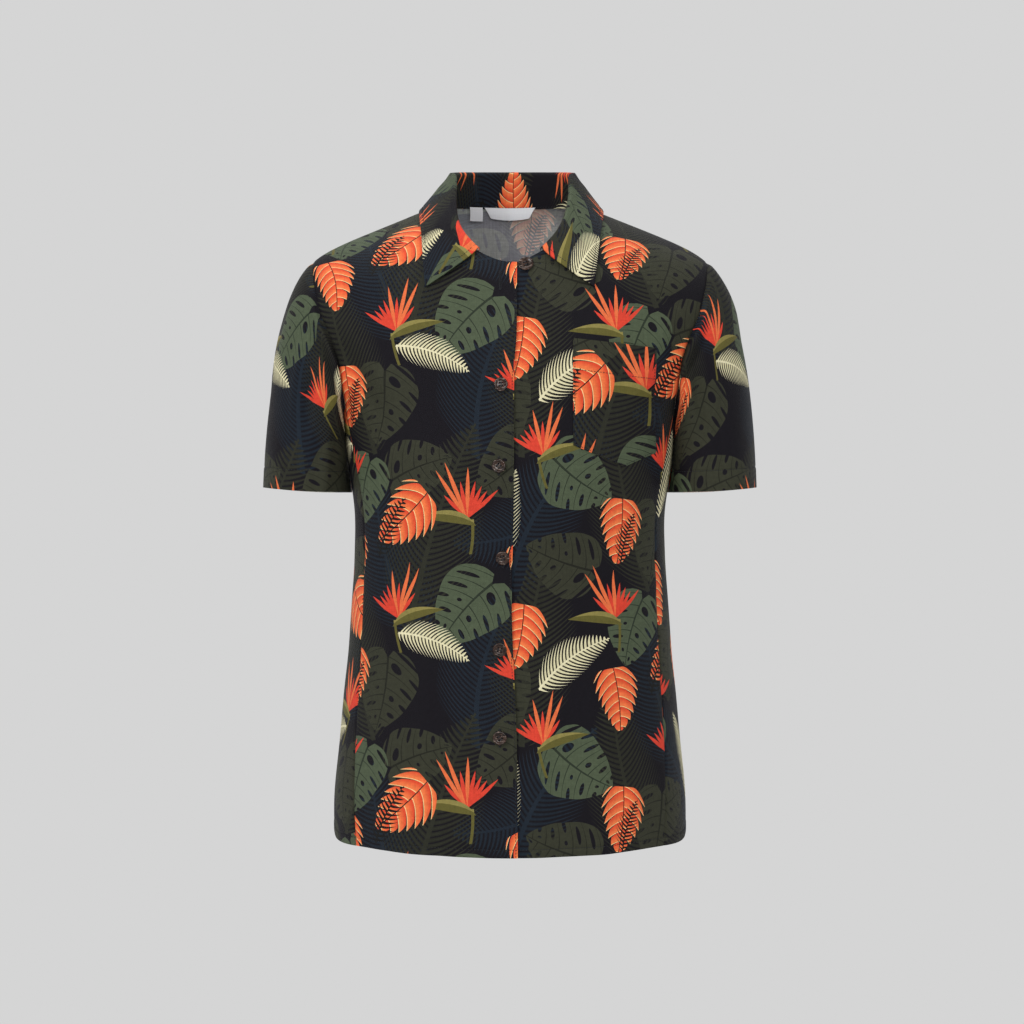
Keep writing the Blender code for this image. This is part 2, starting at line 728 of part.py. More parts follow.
# ---------------------------------------------------------------- buttons
def button_mesh(radius):
    """Half the section of a dished button, to be turned round Z. The face looks to +Z."""
    top = 0.5 * BUTTON_THICKNESS
    inner = radius - BUTTON_RIM
    profile = (
        (0.0, top - BUTTON_DISH),
        (0.8 * inner, top - BUTTON_DISH),
        (inner, top),
        (radius - 0.0004, top),
        (radius, top - 0.0005),
        (0.9 * radius, -0.5 * top),
        (0.6 * radius, -top),
        (0.0, -top),
    )
    mesh = bpy.data.meshes.new("button")
    edges = [(index, index + 1) for index in range(len(profile) - 1)]
    mesh.from_pydata([(reach, 0.0, height) for reach, height in profile], edges, [])
    return mesh


def build_button(name, place, surface):
    level, turn = place_at(front_point, place.x, place.height)
    normal = outward_normal(surface, level, turn)
    lift = WALL + LAYER_GAP + 0.5 * BUTTON_THICKNESS
    piece = add_object(name, button_mesh(place.radius), DARK_HORN, 0.3)
    turned = piece.modifiers.new("turned", "SCREW")
    turned.steps = turned.render_steps = 18
    turned.use_merge_vertices = True
    turned.merge_threshold = 0.00001
    upright = Vector((0.0, 0.0, 1.0)).cross(normal).normalized()
    frame = Matrix((upright, normal.cross(upright), normal)).transposed().to_4x4()
    piece.matrix_world = Matrix.Translation(surface(level, turn) + normal * lift) @ frame
    return piece


# ---------------------------------------------------------------- the shirt
def clear_scene():
    for piece in list(bpy.data.objects):
        bpy.data.objects.remove(piece, do_unlink=True)


def main():
    clear_scene()
    bpy.context.scene.collection.children.link(bpy.data.collections.new("shirt"))
    build_back()
    build_front("front_right", -1)
    build_front("front_left", 1)
    build_sleeve("sleeve_right", -1)
    build_sleeve("sleeve_left", 1)
    build_collar()
    build_pocket()
    build_label("neck_label", NECK_LABEL)
    build_label("size_label", SIZE_LABEL)
    build_button("button_1", OPEN_BUTTON, tucked_front)
    for number, place in enumerate(FASTENED_BUTTONS, start=2):
        build_button(f"button_{number}", place, front_point)


main()
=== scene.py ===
"""The shirt's look: printed cloth shells, sewing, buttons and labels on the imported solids.

The form functions repeat those of the solids, so each shell lies on its solid's outer face.
Lengths are in metres; +Z is up, the front faces -Y and +X is the wearer's left.
"""

import bisect
import functools
import math
from collections import namedtuple

import bmesh
import bpy
from mathutils import Matrix, Vector, noise


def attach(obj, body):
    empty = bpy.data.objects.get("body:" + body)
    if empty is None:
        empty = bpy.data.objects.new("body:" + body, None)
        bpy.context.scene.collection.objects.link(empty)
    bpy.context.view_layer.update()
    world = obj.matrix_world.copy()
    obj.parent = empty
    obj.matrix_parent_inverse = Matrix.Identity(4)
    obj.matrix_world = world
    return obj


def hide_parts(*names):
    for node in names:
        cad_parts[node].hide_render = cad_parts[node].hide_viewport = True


# ---------------------------------------------------------------- sizes that the solids have too
WALL = 0.0012
COLLAR_WALL = 0.0014
LAYER_GAP = 0.0006  # between a piece and what lies on it
OVERLAP_GAP = 0.0010  # between the two fronts at the closure
UNDERARM = -0.200
NECK_HALF_WIDTH = 0.068
NECK_FRONT = -0.062
NECK_BACK = 0.001
NECK_ROUNDNESS = 1.6
SQUARENESS = 2.2
RIDGE = 8  # station of the shoulder seam
SHOULDER_BEND = 16
LAST_STATION = 17
TURN_STEP = 1.0  # either way along a surface, to find its normal
LEVEL_STEP = 0.01
HALVINGS = 30  # of the range that a crossing is looked for in


def table(kind, *rows):
    """Rows of numbers as named tuples."""
    return tuple(kind(*row) for row in rows)


Ring = namedtuple("Ring", "height half_width front back seam_turn")
TORSO_RINGS = table(
    Ring,
    (-0.640, 0.1703, -0.1175, 0.1195, 58.0),
    (-0.580, 0.1706, -0.1155, 0.1165, 60.0),
    (-0.530, 0.1663, -0.1135, 0.1110, 62.0),
    (-0.480, 0.1613, -0.1120, 0.1040, 63.5),
    (-0.435, 0.1567, -0.1112, 0.0975, 65.0),
    (-0.385, 0.1531, -0.1115, 0.0925, 66.0),
    (-0.340, 0.1502, -0.1130, 0.0915, 67.0),
    (-0.300, 0.1500, -0.1165, 0.0960, 68.0),
    (-0.255, 0.1566, -0.1185, 0.1030, 70.0),
    (UNDERARM, 0.1650, -0.1150, 0.1075, 74.0),
)

Hem = namedtuple("Hem", "turn height")
HEM_LINE = table(
    Hem,
    (-20.0, -0.6255),
    (0.0, -0.6271),
    (20.0, -0.6255),
    (30.0, -0.6244),
    (42.0, -0.6222),
    (56.0, -0.6205),
    (70.0, -0.6190),
    (79.0, -0.6160),
    (90.0, -0.6075),
    (102.0, -0.6170),
    (120.0, -0.6230),
    (150.0, -0.6295),
    (180.0, -0.6315),
    (210.0, -0.6295),
)

# Sections over the shoulder, from the front underarm over the shoulder seam to the back underarm.
Yoke = namedtuple("Yoke", "station centre_y centre_z edge_x edge_y edge_z turn fall bend")
YOKE_INNER_ROWS = table(
    Yoke,
    (1, -0.1145, -0.1900, 0.1598, -0.0425, -0.1925, 71.5, 2.0, 0.0),
    (2, -0.1135, -0.1720, 0.1625, -0.0520, -0.1760, 67.5, 2.0, 0.0),
    (3, -0.1100, -0.1500, 0.1650, -0.0575, -0.1545, 63.0, 2.0, 0.0),
    (4, -0.1050, -0.1240, 0.1730, -0.0565, -0.1310, 60.0, 2.0, 0.0),
    (5, -0.0980, -0.0960, 0.1830, -0.0475, -0.1070, 59.0, 1.9, 0.0),
    (6, -0.0870, -0.0640, 0.1895, -0.0345, -0.0810, 60.0, 1.6, 0.02),
    (7, -0.0550, -0.0150, 0.1918, -0.0180, -0.0625, 65.0, 1.2, 0.05),
    (8, 0.0000, 0.0280, 0.1922, 0.0000, -0.0567, 70.0, 1.0, 0.074),
    (9, 0.0500, 0.0040, 0.1918, 0.0185, -0.0625, 65.0, 1.2, 0.05),
    (10, 0.0780, -0.0450, 0.1890, 0.0355, -0.0810, 60.0, 1.6, 0.02),
    (11, 0.0925, -0.0830, 0.1830, 0.0455, -0.1060, 60.0, 1.9, 0.0),
    (12, 0.1025, -0.1170, 0.1750, 0.0500, -0.1340, 64.0, 2.0, 0.0),
    (13, 0.1075, -0.1480, 0.1685, 0.0480, -0.1590, 70.0, 2.0, 0.0),
    (14, 0.1088, -0.1740, 0.1655, 0.0340, -0.1795, 77.0, 2.0, 0.0),
    (15, 0.1083, -0.1900, 0.1648, 0.0039, -0.1900, 87.0, 2.0, 0.0),
    (16, 0.1078, -0.1965, 0.1639, -0.0202, -0.1965, 97.0, 2.0, 0.0),
)

Fold = namedtuple("Fold", "turn width depth top")
BODY_FOLDS = table(
    Fold,
    (-154.0, 13.0, 0.0030, -0.33),
    (-122.0, 12.0, -0.0028, -0.30),
    (-38.0, 7.0, 0.0022, -0.36),
    (-25.0, 6.0, -0.0018, -0.42),
    (33.0, 9.0, 0.0020, -0.32),
    (51.0, 7.0, -0.0018, -0.38),
    (128.0, 12.0, -0.0028, -0.31),
    (160.0, 14.0, 0.0030, -0.34),
)

UNDER_EDGE = -0.022  # hidden centre edge of the left front
TUCK_START = 0.009
TUCK_END = 0.028
Edge = namedtuple("Edge", "height x")  # visible centre edge of the right front
OVER_EDGE = table(
    Edge,
    (-0.640, 0.0076),
    (-0.515, 0.0064),
    (-0.430, 0.0030),
    (-0.385, 0.0018),
    (-0.290, 0.0036),
    (-0.165, 0.0042),
    (-0.130, 0.0064),
    (-0.062, 0.0067),
)

Cuff = namedtuple("Cuff", "inner_x outer_x depth inner_z outer_z middle_y")
CUFF = Cuff(0.1552, 0.2416, 0.0570, -0.2807, -0.2759, 0.002)
CUFF_FLATNESS = 0.68  # below 1 the cuff's inner half is flatter than an ellipse
CUFF_RISE = 2.5  # how late its edge turns up towards the outer side
CAP_TURN = 51.0
CAP_REACH = 0.156
UNDER_REACH = 0.030
CUFF_REACH = 0.235
CUFF_SPREAD = 0.008
CAP_FULLNESS = 0.035
CLOSE_TO_BODY = 0.0013

COLLAR_START = 0.0303
ROLL_RADIUS = 0.0021
LEAF_CLEARANCE = 0.0014
COLLAR_GAP = 0.0008
COLLAR_TILT = 0.0025
TILT_RANGE = (0.1, 0.4)  # shares of the way to centre back over which the tilt sets in
Leaf = namedtuple("Leaf", "along rise lean edge_station edge_x")
COLLAR_LEAF = table(
    Leaf,
    (0.00, 0.0030, 0.0000, 5.42, 0.0800),
    (0.15, 0.0090, 0.0025, 6.02, 0.0820),
    (0.30, 0.0180, 0.0075, 6.85, 0.0850),
    (0.47, 0.0285, 0.0115, 8.00, 0.0885),
    (0.64, 0.0330, 0.0090, 9.10, 0.0805),
    (0.82, 0.0350, 0.0040, 9.48, 0.0430),
    (1.00, 0.0360, 0.0020, 9.56, 0.0000),
)
NECK_AXIS_Y = -0.012
UP = Vector((0.0, 0.0, 1.0))

Patch = namedtuple("Patch", "left_x right_x left_top right_top left_low right_low point_x point_z")
POCKET = Patch(0.0596, 0.1385, -0.1354, -0.1435, -0.2370, -0.2430, 0.1080, -0.2570)
Label = namedtuple("Label", "left_x right_x top corner_low middle_low")
NECK_LABEL = Label(-0.0265, 0.0265, 0.0022, -0.0070, -0.0100)
SIZE_LABEL = Label(-0.0415, -0.0285, 0.0022, -0.0115, -0.0115)

BUTTON_THICKNESS = 0.0026
Button = namedtuple("Button", "x height radius")
OPEN_BUTTON = Button(0.0155, -0.0640, 0.0074)
FASTENED_BUTTONS = table(
    Button,
    (-0.0085, -0.1795, 0.0066),
    (-0.0104, -0.2565, 0.0066),
    (-0.0068, -0.3435, 0.0066),
    (-0.0095, -0.4305, 0.0066),
    (-0.0095, -0.5137, 0.0066),
)

# ---------------------------------------------------------------- sizes of the look
CLOTH = 0.0006  # thickness of a shell
COLLAR_CLOTH = 0.0012
TAPE = 0.0005  # and of a label
SHARP_ANGLE = math.radians(50.0)
WELD_DISTANCE = 1e-6
SEAM_GROOVE = 0.0007
SEAM_SOFTNESS = 0.0016
HEM_DEPTH = 0.0078  # hem stitching above the body's edge
CUFF_HEM_DEPTH = 0.0200
COLLAR_STITCH = 0.0050
EDGE_STITCH = 0.0018
NECK_STITCH = 0.0018
COLLAR_TRIM = 4  # columns and rows of the collar that its stitching stops short of
LEAF_TRIM = 3
POCKET_STITCH = 0.0016
POCKET_HEM_DEPTH = 0.0300
STITCH_DIMPLE = 0.0005
DIMPLE_WIDTH = 0.0009
EDGE_ROUNDING = 0.0004  # of the collar's leaf
EDGE_ROUND_WIDTH = 0.0008
HEM_FULLNESS = 0.0003
FULL_BELOW = 0.0015  # it goes from here below its stitching to here above it
FULL_ABOVE = 0.0010
STITCH_PITCH = 0.0030
STITCH_LENGTH = 0.0022
STITCH_RADIUS = 0.00030
STITCH_RINGS = ((-0.36, 0.8), (0.0, 1.0), (0.36, 0.8))  # shares of its length and of its radius


# ---------------------------------------------------------------- small helpers
def mix(low, high, share):
    return low + (high - low) * share


def smooth_step(value, low, high):
    share = min(max((value - low) / (high - low), 0.0), 1.0)
    return share * share * (3.0 - 2.0 * share)


def bump(away, width):
    return math.exp(-((away / width) ** 2))


def squarish(value):
    return math.copysign(abs(value) ** (2.0 / SQUARENESS), value)


def unsquarish(value):
    return math.copysign(abs(value) ** (SQUARENESS / 2.0), value)


def hermite(start, end, leave, arrive, share):
    """A smooth way from start to end that leaves the one and reaches the other at given slopes."""
    square, cube = share**2, share**3
    return (
        start * (2 * cube - 3 * square + 1)
        + leave * (cube - 2 * square + share)
        + end * (3 * square - 2 * cube)
        + arrive * (cube - square)
    )


@functools.cache
def look_up(table, place):
    """The table's row at a place between its rows, on a smooth curve through all of them."""
    place = min(max(place, table[0][0]), table[-1][0])
    last = len(table) - 1
    left = min(bisect.bisect_right([row[0] for row in table], place) - 1, last - 1)
    near = [table[max(left - 1, 0)], table[left], table[left + 1], table[min(left + 2, last)]]
    span = near[2][0] - near[1][0]
    share = (place - near[1][0]) / span
    values = []
    for before, start, end, after in zip(*near):
        leave = (end - before) / (near[2][0] - near[0][0]) * span
        arrive = (after - start) / (near[3][0] - near[1][0]) * span
        values.append(hermite(start, end, leave, arrive, share))
    return type(table[0])(*values)


def crossing(function, low, high):
    """Where the function passes zero between low and high."""
    sign = 1.0 if function(low) > 0.0 else -1.0
    for _ in range(HALVINGS):
        middle = 0.5 * (low + high)
        if function(middle) * sign > 0.0:
            low = middle
        else:
            high = middle
    return 0.5 * (low + high)


def running_lengths(points):
    """How far along a line of points each of them lies."""
    reached = [0.0]
    for a, b in zip(points, points[1:]):
        reached.append(reached[-1] + (b - a).length)
    return reached


def step_at(reached, goal):
    """The step of a line in which a length is reached, and the share of that step before it."""
    index = min(max(bisect.bisect_right(reached, goal) - 1, 0), len(reached) - 2)
    return index, (goal - reached[index]) / (reached[index + 1] - reached[index])


def circle(count):
    """Cosine and sine of even steps round a circle."""
    turns = [math.tau * step / count for step in range(count)]
    return [(math.cos(turn), math.sin(turn)) for turn in turns]


# ---------------------------------------------------------------- the body form
def fold_depth(turn, height, hem):
    depth = 0.0
    for fold in BODY_FOLDS:
        away = (turn - fold.turn + 180.0) % 360.0 - 180.0
        strength = smooth_step(fold.top - height, 0.0, fold.top - hem)
        depth += fold.depth * bump(away, fold.width) * strength
    return depth


def hem_height(turn):
    return look_up(HEM_LINE, abs(turn)).height


def ring_middle(ring):
    """Where the centre of a ring of the torso lies from front to back, and half its depth."""
    return 0.5 * (ring.front + ring.back), 0.5 * (ring.back - ring.front)


def torso_height(level):
    return mix(HEM_LINE[1].height, UNDERARM, level)


def ring_point(turn, height):
    """A point of the torso, turn degrees round from centre front, towards +X when positive."""
    ring = look_up(TORSO_RINGS, height)
    middle, depth = ring_middle(ring)
    side = squarish(math.sin(math.radians(turn)))
    ahead = squarish(math.cos(math.radians(turn)))
    outward = Vector((side / ring.half_width, -ahead / depth, 0.0)).normalized()
    point = Vector((ring.half_width * side, middle - depth * ahead, height))
    return point + outward * fold_depth(turn, height, HEM_LINE[1].height)


def ring_turn(height, x):
    """The turn at which the torso passes x at a height."""
    share = x / look_up(TORSO_RINGS, height).half_width
    return math.degrees(math.asin(unsquarish(share)))


def underarm_row(station, turn):
    ring = TORSO_RINGS[-1]
    centre_y = ring.front if station < RIDGE else ring.back
    seam = ring_point(ring.seam_turn, UNDERARM)
    return Yoke(station, centre_y, UNDERARM, seam.x, seam.y, UNDERARM, turn, 2.0, 0.0)


YOKE_ROWS = (
    underarm_row(0, TORSO_RINGS[-1].seam_turn),
    *YOKE_INNER_ROWS,
    underarm_row(LAST_STATION, 180.0 - TORSO_RINGS[-1].seam_turn),
)


def yoke_point(station, turn):
    """A point over the shoulder; turn is counted from the centre of its own side of the body."""
    row = look_up(YOKE_ROWS, station)
    across = squarish(math.sin(math.radians(turn))) / squarish(math.sin(math.radians(row.turn)))
    back = 1.0 - squarish(math.cos(math.radians(turn)))
    back /= 1.0 - squarish(math.cos(math.radians(row.turn)))
    reach = min(abs(across), 1.05)
    fallen = mix(reach**row.fall, reach**SHOULDER_BEND, row.bend)
    height = mix(row.centre_z, row.edge_z, fallen)
    return Vector((row.edge_x * across, mix(row.centre_y, row.edge_y, back), height))


def yoke_turn(station, x):
    """The turn at which a yoke row passes x."""
    row = look_up(YOKE_ROWS, station)
    share = x / row.edge_x * squarish(math.sin(math.radians(row.turn)))
    return math.degrees(math.asin(min(max(unsquarish(share), -1.0), 1.0)))


def front_point(level, turn):
    """level: 0 at the hem, 1 at the underarm, 1 + RIDGE at the shoulder seam."""
    if level > 1.0:
        return yoke_point(level - 1.0, turn)
    return ring_point(turn, mix(hem_height(turn), UNDERARM, level))


def back_point(level, turn):
    """The same for the back, with turn counted from centre back."""
    if level > 1.0:
        return yoke_point(LAST_STATION - (level - 1.0), turn)
    around = math.copysign(180.0 - abs(turn), turn)
    return ring_point(around, mix(hem_height(around), UNDERARM, level))


def outward_normal(surface, level, turn):
    across = surface(level, turn + TURN_STEP) - surface(level, turn - TURN_STEP)
    upward = surface(level + LEVEL_STEP, turn) - surface(level - LEVEL_STEP, turn)
    normal = across.cross(upward).normalized()
    return -normal if surface is back_point else normal


def place_at(surface, x, height):
    """The level and turn at which a front or back surface passes x and height."""
    is_front = surface is front_point

    def turn_at(level):
        if level > 1.0:
            return yoke_turn(level - 1.0 if is_front else LAST_STATION - level + 1.0, x)
        return ring_turn(torso_height(level), x)

    top = 1.0 + RIDGE if is_front else 1.0 + LAST_STATION - RIDGE
    level = crossing(lambda value: surface(value, turn_at(value)).z - height, 0.0, top)
    return level, turn_at(level)


def tucked_front(level, turn):
    """The left front, drawn in where it lies under the right one."""
    point = front_point(level, turn)
    under = 1.0 - smooth_step(point.x, TUCK_START, TUCK_END)
    return point - outward_normal(front_point, level, turn) * (WALL + OVERLAP_GAP) * under


# ---------------------------------------------------------------- edges of the panels
def front_neck_height(x):
    share = min(abs(x) / NECK_HALF_WIDTH, 1.0)
    return NECK_FRONT * (1.0 - share**NECK_ROUNDNESS) ** (1.0 / NECK_ROUNDNESS)


def back_neck_height(x):
    share = min(abs(x) / NECK_HALF_WIDTH, 1.0)
    return NECK_BACK * (1.0 - share**2)


@functools.cache
def neck_turn(station):
    """The turn at which the neck curve crosses a yoke row."""
    if not FRONT_NECK_STATION < station < BACK_NECK_STATION:
        return 0.0
    neck_height = front_neck_height if station < RIDGE else back_neck_height
    row = look_up(YOKE_ROWS, station)

    def above(turn):
        point = yoke_point(station, turn)
        return point.z - neck_height(point.x)

    return crossing(above, 0.0, row.turn)


FRONT_NECK_STATION = crossing(lambda s: yoke_point(s, 0.0).z - NECK_FRONT, 0.0, RIDGE)
BACK_NECK_STATION = crossing(lambda s: yoke_point(s, 0.0).z - NECK_BACK, RIDGE, LAST_STATION)
FRONT_NECK_LEVEL = 1.0 + FRONT_NECK_STATION
BACK_NECK_LEVEL = 1.0 + LAST_STATION - BACK_NECK_STATION


def seam_turn(level):
    """Where the front ends: the side seam up to the underarm, the armhole above it."""
    if level > 1.0:
        return look_up(YOKE_ROWS, level - 1.0).turn
    return look_up(TORSO_RINGS, torso_height(level)).seam_turn


def back_seam_turn(level):
    if level > 1.0:
        return look_up(YOKE_ROWS, LAST_STATION - (level - 1.0)).turn
    return 180.0 - seam_turn(level)


def over_edge_turn(level, side):
    """Turn of the centre edge of a front, counted towards its own side."""
    height = front_point(level, 0.0).z
    x = -look_up(OVER_EDGE, height).x if side < 0 else UNDER_EDGE
    return yoke_turn(level - 1.0, x) if level > 1.0 else ring_turn(height, x)


def evenly_along(places, count):
    """Places on the yoke at even distances along the polyline through the given ones."""
    reached = running_lengths([yoke_point(*place) for place in places])
    spread = []
    for step in range(count + 1):
        index, share = step_at(reached, reached[-1] * step / count)
        spread.append([mix(start, end, share) for start, end in zip(places[index], places[index + 1])])
    return spread


def neck_places(first, last):
    """Stations and turns along the neck seam, close together where it runs level with the rows."""
    steps = [math.sin(0.5 * math.pi * step / NECK_STEPS) ** 2 for step in range(NECK_STEPS + 1)]
    return [(station, neck_turn(station)) for station in (mix(first, last, step) for step in steps)]


# ---------------------------------------------------------------- rows and columns of the shells
TORSO_LENGTH = UNDERARM - HEM_LINE[1].height
HEM_ROWS = (0.0, 0.0010, 0.0025, 0.0042, 0.0058, 0.0070, 0.0078, 0.0086, 0.0098, 0.0116, 0.0140)
TORSO_ROWS = 124
FRONT_ARMHOLE_ROWS = 44
BACK_ARMHOLE_ROWS = 58
FRONT_NECK_ROWS = 36
BACK_NECK_ROWS = 24
NECK_STEPS = 60  # along which the rows beside the neck are spread evenly
LEAD_STEPS = 10  # from the centre to a row's first column
SAME_LEVEL = 1e-6
FRONT_COLUMNS = 66
BACK_COLUMNS = 76  # on each side
EDGE_COLUMNS = (0.0008, 0.0018, 0.0030, 0.0046)  # extra ones this far from a panel's edge
FRONT_WIDTH = 0.22
BACK_HALF_WIDTH = 0.25


def torso_levels():
    near_hem = [depth / TORSO_LENGTH for depth in HEM_ROWS]
    start = near_hem[-1]
    return near_hem + [mix(start, 1.0, step / TORSO_ROWS) for step in range(1, TORSO_ROWS)]


@functools.cache
def panel_levels(neck_station, armhole_rows, neck_rows):
    """Levels of a panel's rows: up the torso, up the armhole to the neck, and up beside the neck."""
    stations = [station for station, _ in evenly_along(neck_places(neck_station, RIDGE), neck_rows)]
    if neck_station > RIDGE:
        stations = [LAST_STATION - station for station in stations]
    armhole = [mix(1.0, 1.0 + stations[0], step / armhole_rows) for step in range(armhole_rows)]
    return torso_levels() + armhole + [1.0 + station for station in stations]


def front_levels():
    return panel_levels(FRONT_NECK_STATION, FRONT_ARMHOLE_ROWS, FRONT_NECK_ROWS)


def back_levels():
    return panel_levels(BACK_NECK_STATION, BACK_ARMHOLE_ROWS, BACK_NECK_ROWS)


def column_shares(width, count, both_ends=True):
    """Shares across a panel: even, with extra columns close to its edges."""
    close = [depth / width for depth in EDGE_COLUMNS]
    start = close[-1]
    end = 1.0 - start if both_ends else 1.0
    shares = [0.0, *close[:-1]] + [mix(start, end, step / count) for step in range(count + 1)]
    if both_ends:
        shares += [1.0 - share for share in reversed(close[:-1])] + [1.0]
    return shares


# ---------------------------------------------------------------- relief of the cloth
Crease = namedtuple("Crease", "x z to_x to_z width depth")


def creases(*rows):
    """Creases from rows of their fields in millimetres."""
    return [Crease(*(value / 1000.0 for value in row)) for row in rows]


FRONT_CREASES = creases(
    (-70, -420, -66, -690, 10, -2.7),
    (-53, -450, -49, -680, 9, 1.6),
    (-130, -450, -126, -670, 12, 1.5),
    (80, -410, 88, -690, 12, 2.1),
    (100, -450, 108, -670, 10, -1.8),
    (42, -490, 46, -680, 9, -1.5),
    (-172, -118, -110, -235, 6.5, -2.1),
    (-164, -102, -96, -215, 7, 1.5),
    (170, -120, 113, -242, 6.5, -1.9),
    (160, -100, 101, -220, 7.5, 1.5),
    (-150, -330, -60, -380, 8, -1.4),
    (-145, -355, -75, -402, 8, 1.2),
    (65, -385, 150, -335, 8.5, -1.4),
    (85, -405, 145, -360, 8, 1.2),
    (-70, -20, -128, -105, 8, -1.4),
    (76, -22, 130, -100, 8, -1.2),
)
BACK_CREASES = creases(
    (-150, -90, -105, -225, 7.5, -2.1),
    (-140, -70, -90, -205, 8, 1.5),
    (152, -95, 101, -235, 7.5, -1.9),
    (138, -75, 88, -200, 8.5, 1.6),
    (-75, -270, -35, -430, 12, -2.4),
    (85, -280, 30, -410, 11, -2.1),
    (-90, -430, -102, -680, 13, -2.7),
    (-18, -470, -24, -690, 11, -1.9),
    (56, -440, 68, -680, 12, 2.3),
    (102, -460, 116, -670, 11, -1.9),
    (-150, -345, -65, -370, 8.5, -1.5),
    (60, -375, 148, -335, 8.5, -1.5),
    (-55, -25, 50, -30, 11, -1.2),
)
# On a sleeve, x is the distance round it from its top, and z falls below zero away from the armhole.
SLEEVE_CREASES = {
    -1: creases(
        (-190, -8, -70, -8, 5, 3.6),
        (-165, -19, -85, -25, 5.5, -3.4),
        (-112, -25, -96, -125, 6, -4.2),
        (-90, -30, -78, -125, 7.5, 3),
        (-140, -60, -124, -185, 8, 2),
        (-35, -50, 6, -190, 12, -2.4),
        (70, -8, 190, -8, 5, 3.2),
        (165, -15, 105, -105, 6.5, -4.2),
        (140, -15, 86, -95, 8, 2.8),
        (115, -20, 70, -105, 7, -2.8),
        (130, -90, 85, -190, 9, 2),
        (-100, -95, 100, -95, 40, 1.1),
    ),
    1: creases(
        (-190, -8, -75, -8, 5, 3.4),
        (-162, -20, -95, -24, 5.5, -3.2),
        (-130, -20, -116, -115, 6, -3.6),
        (-106, -25, -92, -115, 7.5, 2.6),
        (-100, -90, -85, -190, 8, -2),
        (-25, -60, 20, -190, 11, -2.2),
        (75, -8, 190, -8, 5, 3.2),
        (168, -15, 115, -100, 6.5, -4),
        (146, -15, 94, -90, 7.5, 2.6),
        (118, -20, 78, -100, 7, -2.6),
        (135, -80, 75, -185, 9.5, 2),
        (-100, -50, 100, -50, 28, 1.9),
    ),
}
RIPPLE = 0.0005
RIPPLE_SIZE = 0.055


def crease_depth(creases, x, z):
    """Soft ridges, or troughs below zero, strongest half way along and gone at both ends."""
    depth = 0.0
    for crease in creases:
        run_x, run_z = crease.to_x - crease.x, crease.to_z - crease.z
        length = math.hypot(run_x, run_z)
        along = ((x - crease.x) * run_x + (z - crease.z) * run_z) / length**2
        if not 0.0 < along < 1.0:
            continue
        away = ((x - crease.x) * run_z - (z - crease.z) * run_x) / length
        if abs(away) < 3.0 * crease.width:
            depth += crease.depth * bump(away, crease.width) * (1.0 - (2.0 * along - 1.0) ** 2)
    return depth


def ripple(point):
    return RIPPLE * noise.noise(point / RIPPLE_SIZE)


def raised(point, normal, panel_creases, lift):
    """A point moved out from a panel's inner face to the relief of its outer one."""
    relief = crease_depth(panel_creases, point.x, point.z) + ripple(point)
    return point + normal * (WALL + relief + lift)


def seam_relief(distance):
    """How far the cloth is drawn in beside a seam."""
    return -SEAM_GROOVE * bump(distance, SEAM_SOFTNESS)


def hem_relief(distance, depth):
    """A turned hem: fuller below its stitching, drawn in at it."""
    fuller = 1.0 - smooth_step(distance, depth - FULL_BELOW, depth + FULL_ABOVE)
    return HEM_FULLNESS * fuller - STITCH_DIMPLE * bump(distance - depth, DIMPLE_WIDTH)


# ---------------------------------------------------------------- points of the dressed cloth
Spot = namedtuple("Spot", "point normal uv")
OUT_OF_REACH = 1.0  # further from the hem than its relief goes


def sided(vector, side):
    return Vector((side * vector.x, vector.y, vector.z))


def dressed_front(level, turn, side, lift=0.0):
    """A point and normal on the outer face of a front."""
    surface = front_point if side < 0 else tucked_front
    normal = sided(outward_normal(front_point, level, turn), side)
    return raised(sided(surface(level, turn), side), normal, FRONT_CREASES, lift), normal


def dressed_back(level, turn, side, lift):
    normal = outward_normal(back_point, level, side * turn)
    return raised(back_point(level, side * turn), normal, BACK_CREASES, lift), normal


def row_arcs(surface, level, turns):
    """How far across the cloth from its centre each turn of a row lies."""
    ordered = sorted(turns)
    lead = [surface(level, ordered[0] * step / LEAD_STEPS).xy for step in range(LEAD_STEPS + 1)]
    start = math.copysign(running_lengths(lead)[-1], ordered[0])
    arcs = [start + length for length in running_lengths([surface(level, turn).xy for turn in ordered])]
    return arcs if ordered == turns else arcs[::-1]


def climb(rows):
    """How far up the cloth each point of a grid lies, starting from its height at the hem."""
    columns = []
    for column in zip(*rows):
        reached = running_lengths([point.yz for point in column])
        columns.append([column[0].z + length for length in reached])
    return list(zip(*columns))


def above_hem(surface, level, turn):
    """How far above the hem a point of a panel is."""
    around = turn if surface is front_point else 180.0 - turn
    return level * (UNDERARM - hem_height(around)) if level < 1.0 else OUT_OF_REACH


def panel_grid(surface, levels, rows, side, shift):
    """Outer face of a front or of half the back. shift moves the print on it."""
    dressed = dressed_front if surface is front_point else dressed_back
    ups = climb([[surface(level, turn) for turn in turns] for level, turns in zip(levels, rows)])
    grid = []
    for level, turns, heights in zip(levels, rows, ups):
        arcs = row_arcs(surface, level, turns)
        seam = max(arcs)
        line = []
        for turn, arc, height, ridge in zip(turns, arcs, heights, ups[-1]):
            lift = hem_relief(above_hem(surface, level, turn), HEM_DEPTH)
            lift += seam_relief(seam - arc) + seam_relief(ridge - height)
            point, normal = dressed(level, turn, side, lift)
            line.append(Spot(point, normal, (side * arc + shift[0], height + shift[1])))
        grid.append(line)
    return grid


def front_grid(side, shift):
    shares = column_shares(FRONT_WIDTH, FRONT_COLUMNS)
    rows = []
    for level in front_levels():
        above_neck = level > FRONT_NECK_LEVEL + SAME_LEVEL
        start = neck_turn(level - 1.0) if above_neck else over_edge_turn(level, side)
        rows.append([mix(start, seam_turn(level), share) for share in shares])
    return panel_grid(front_point, front_levels(), rows, side, shift)


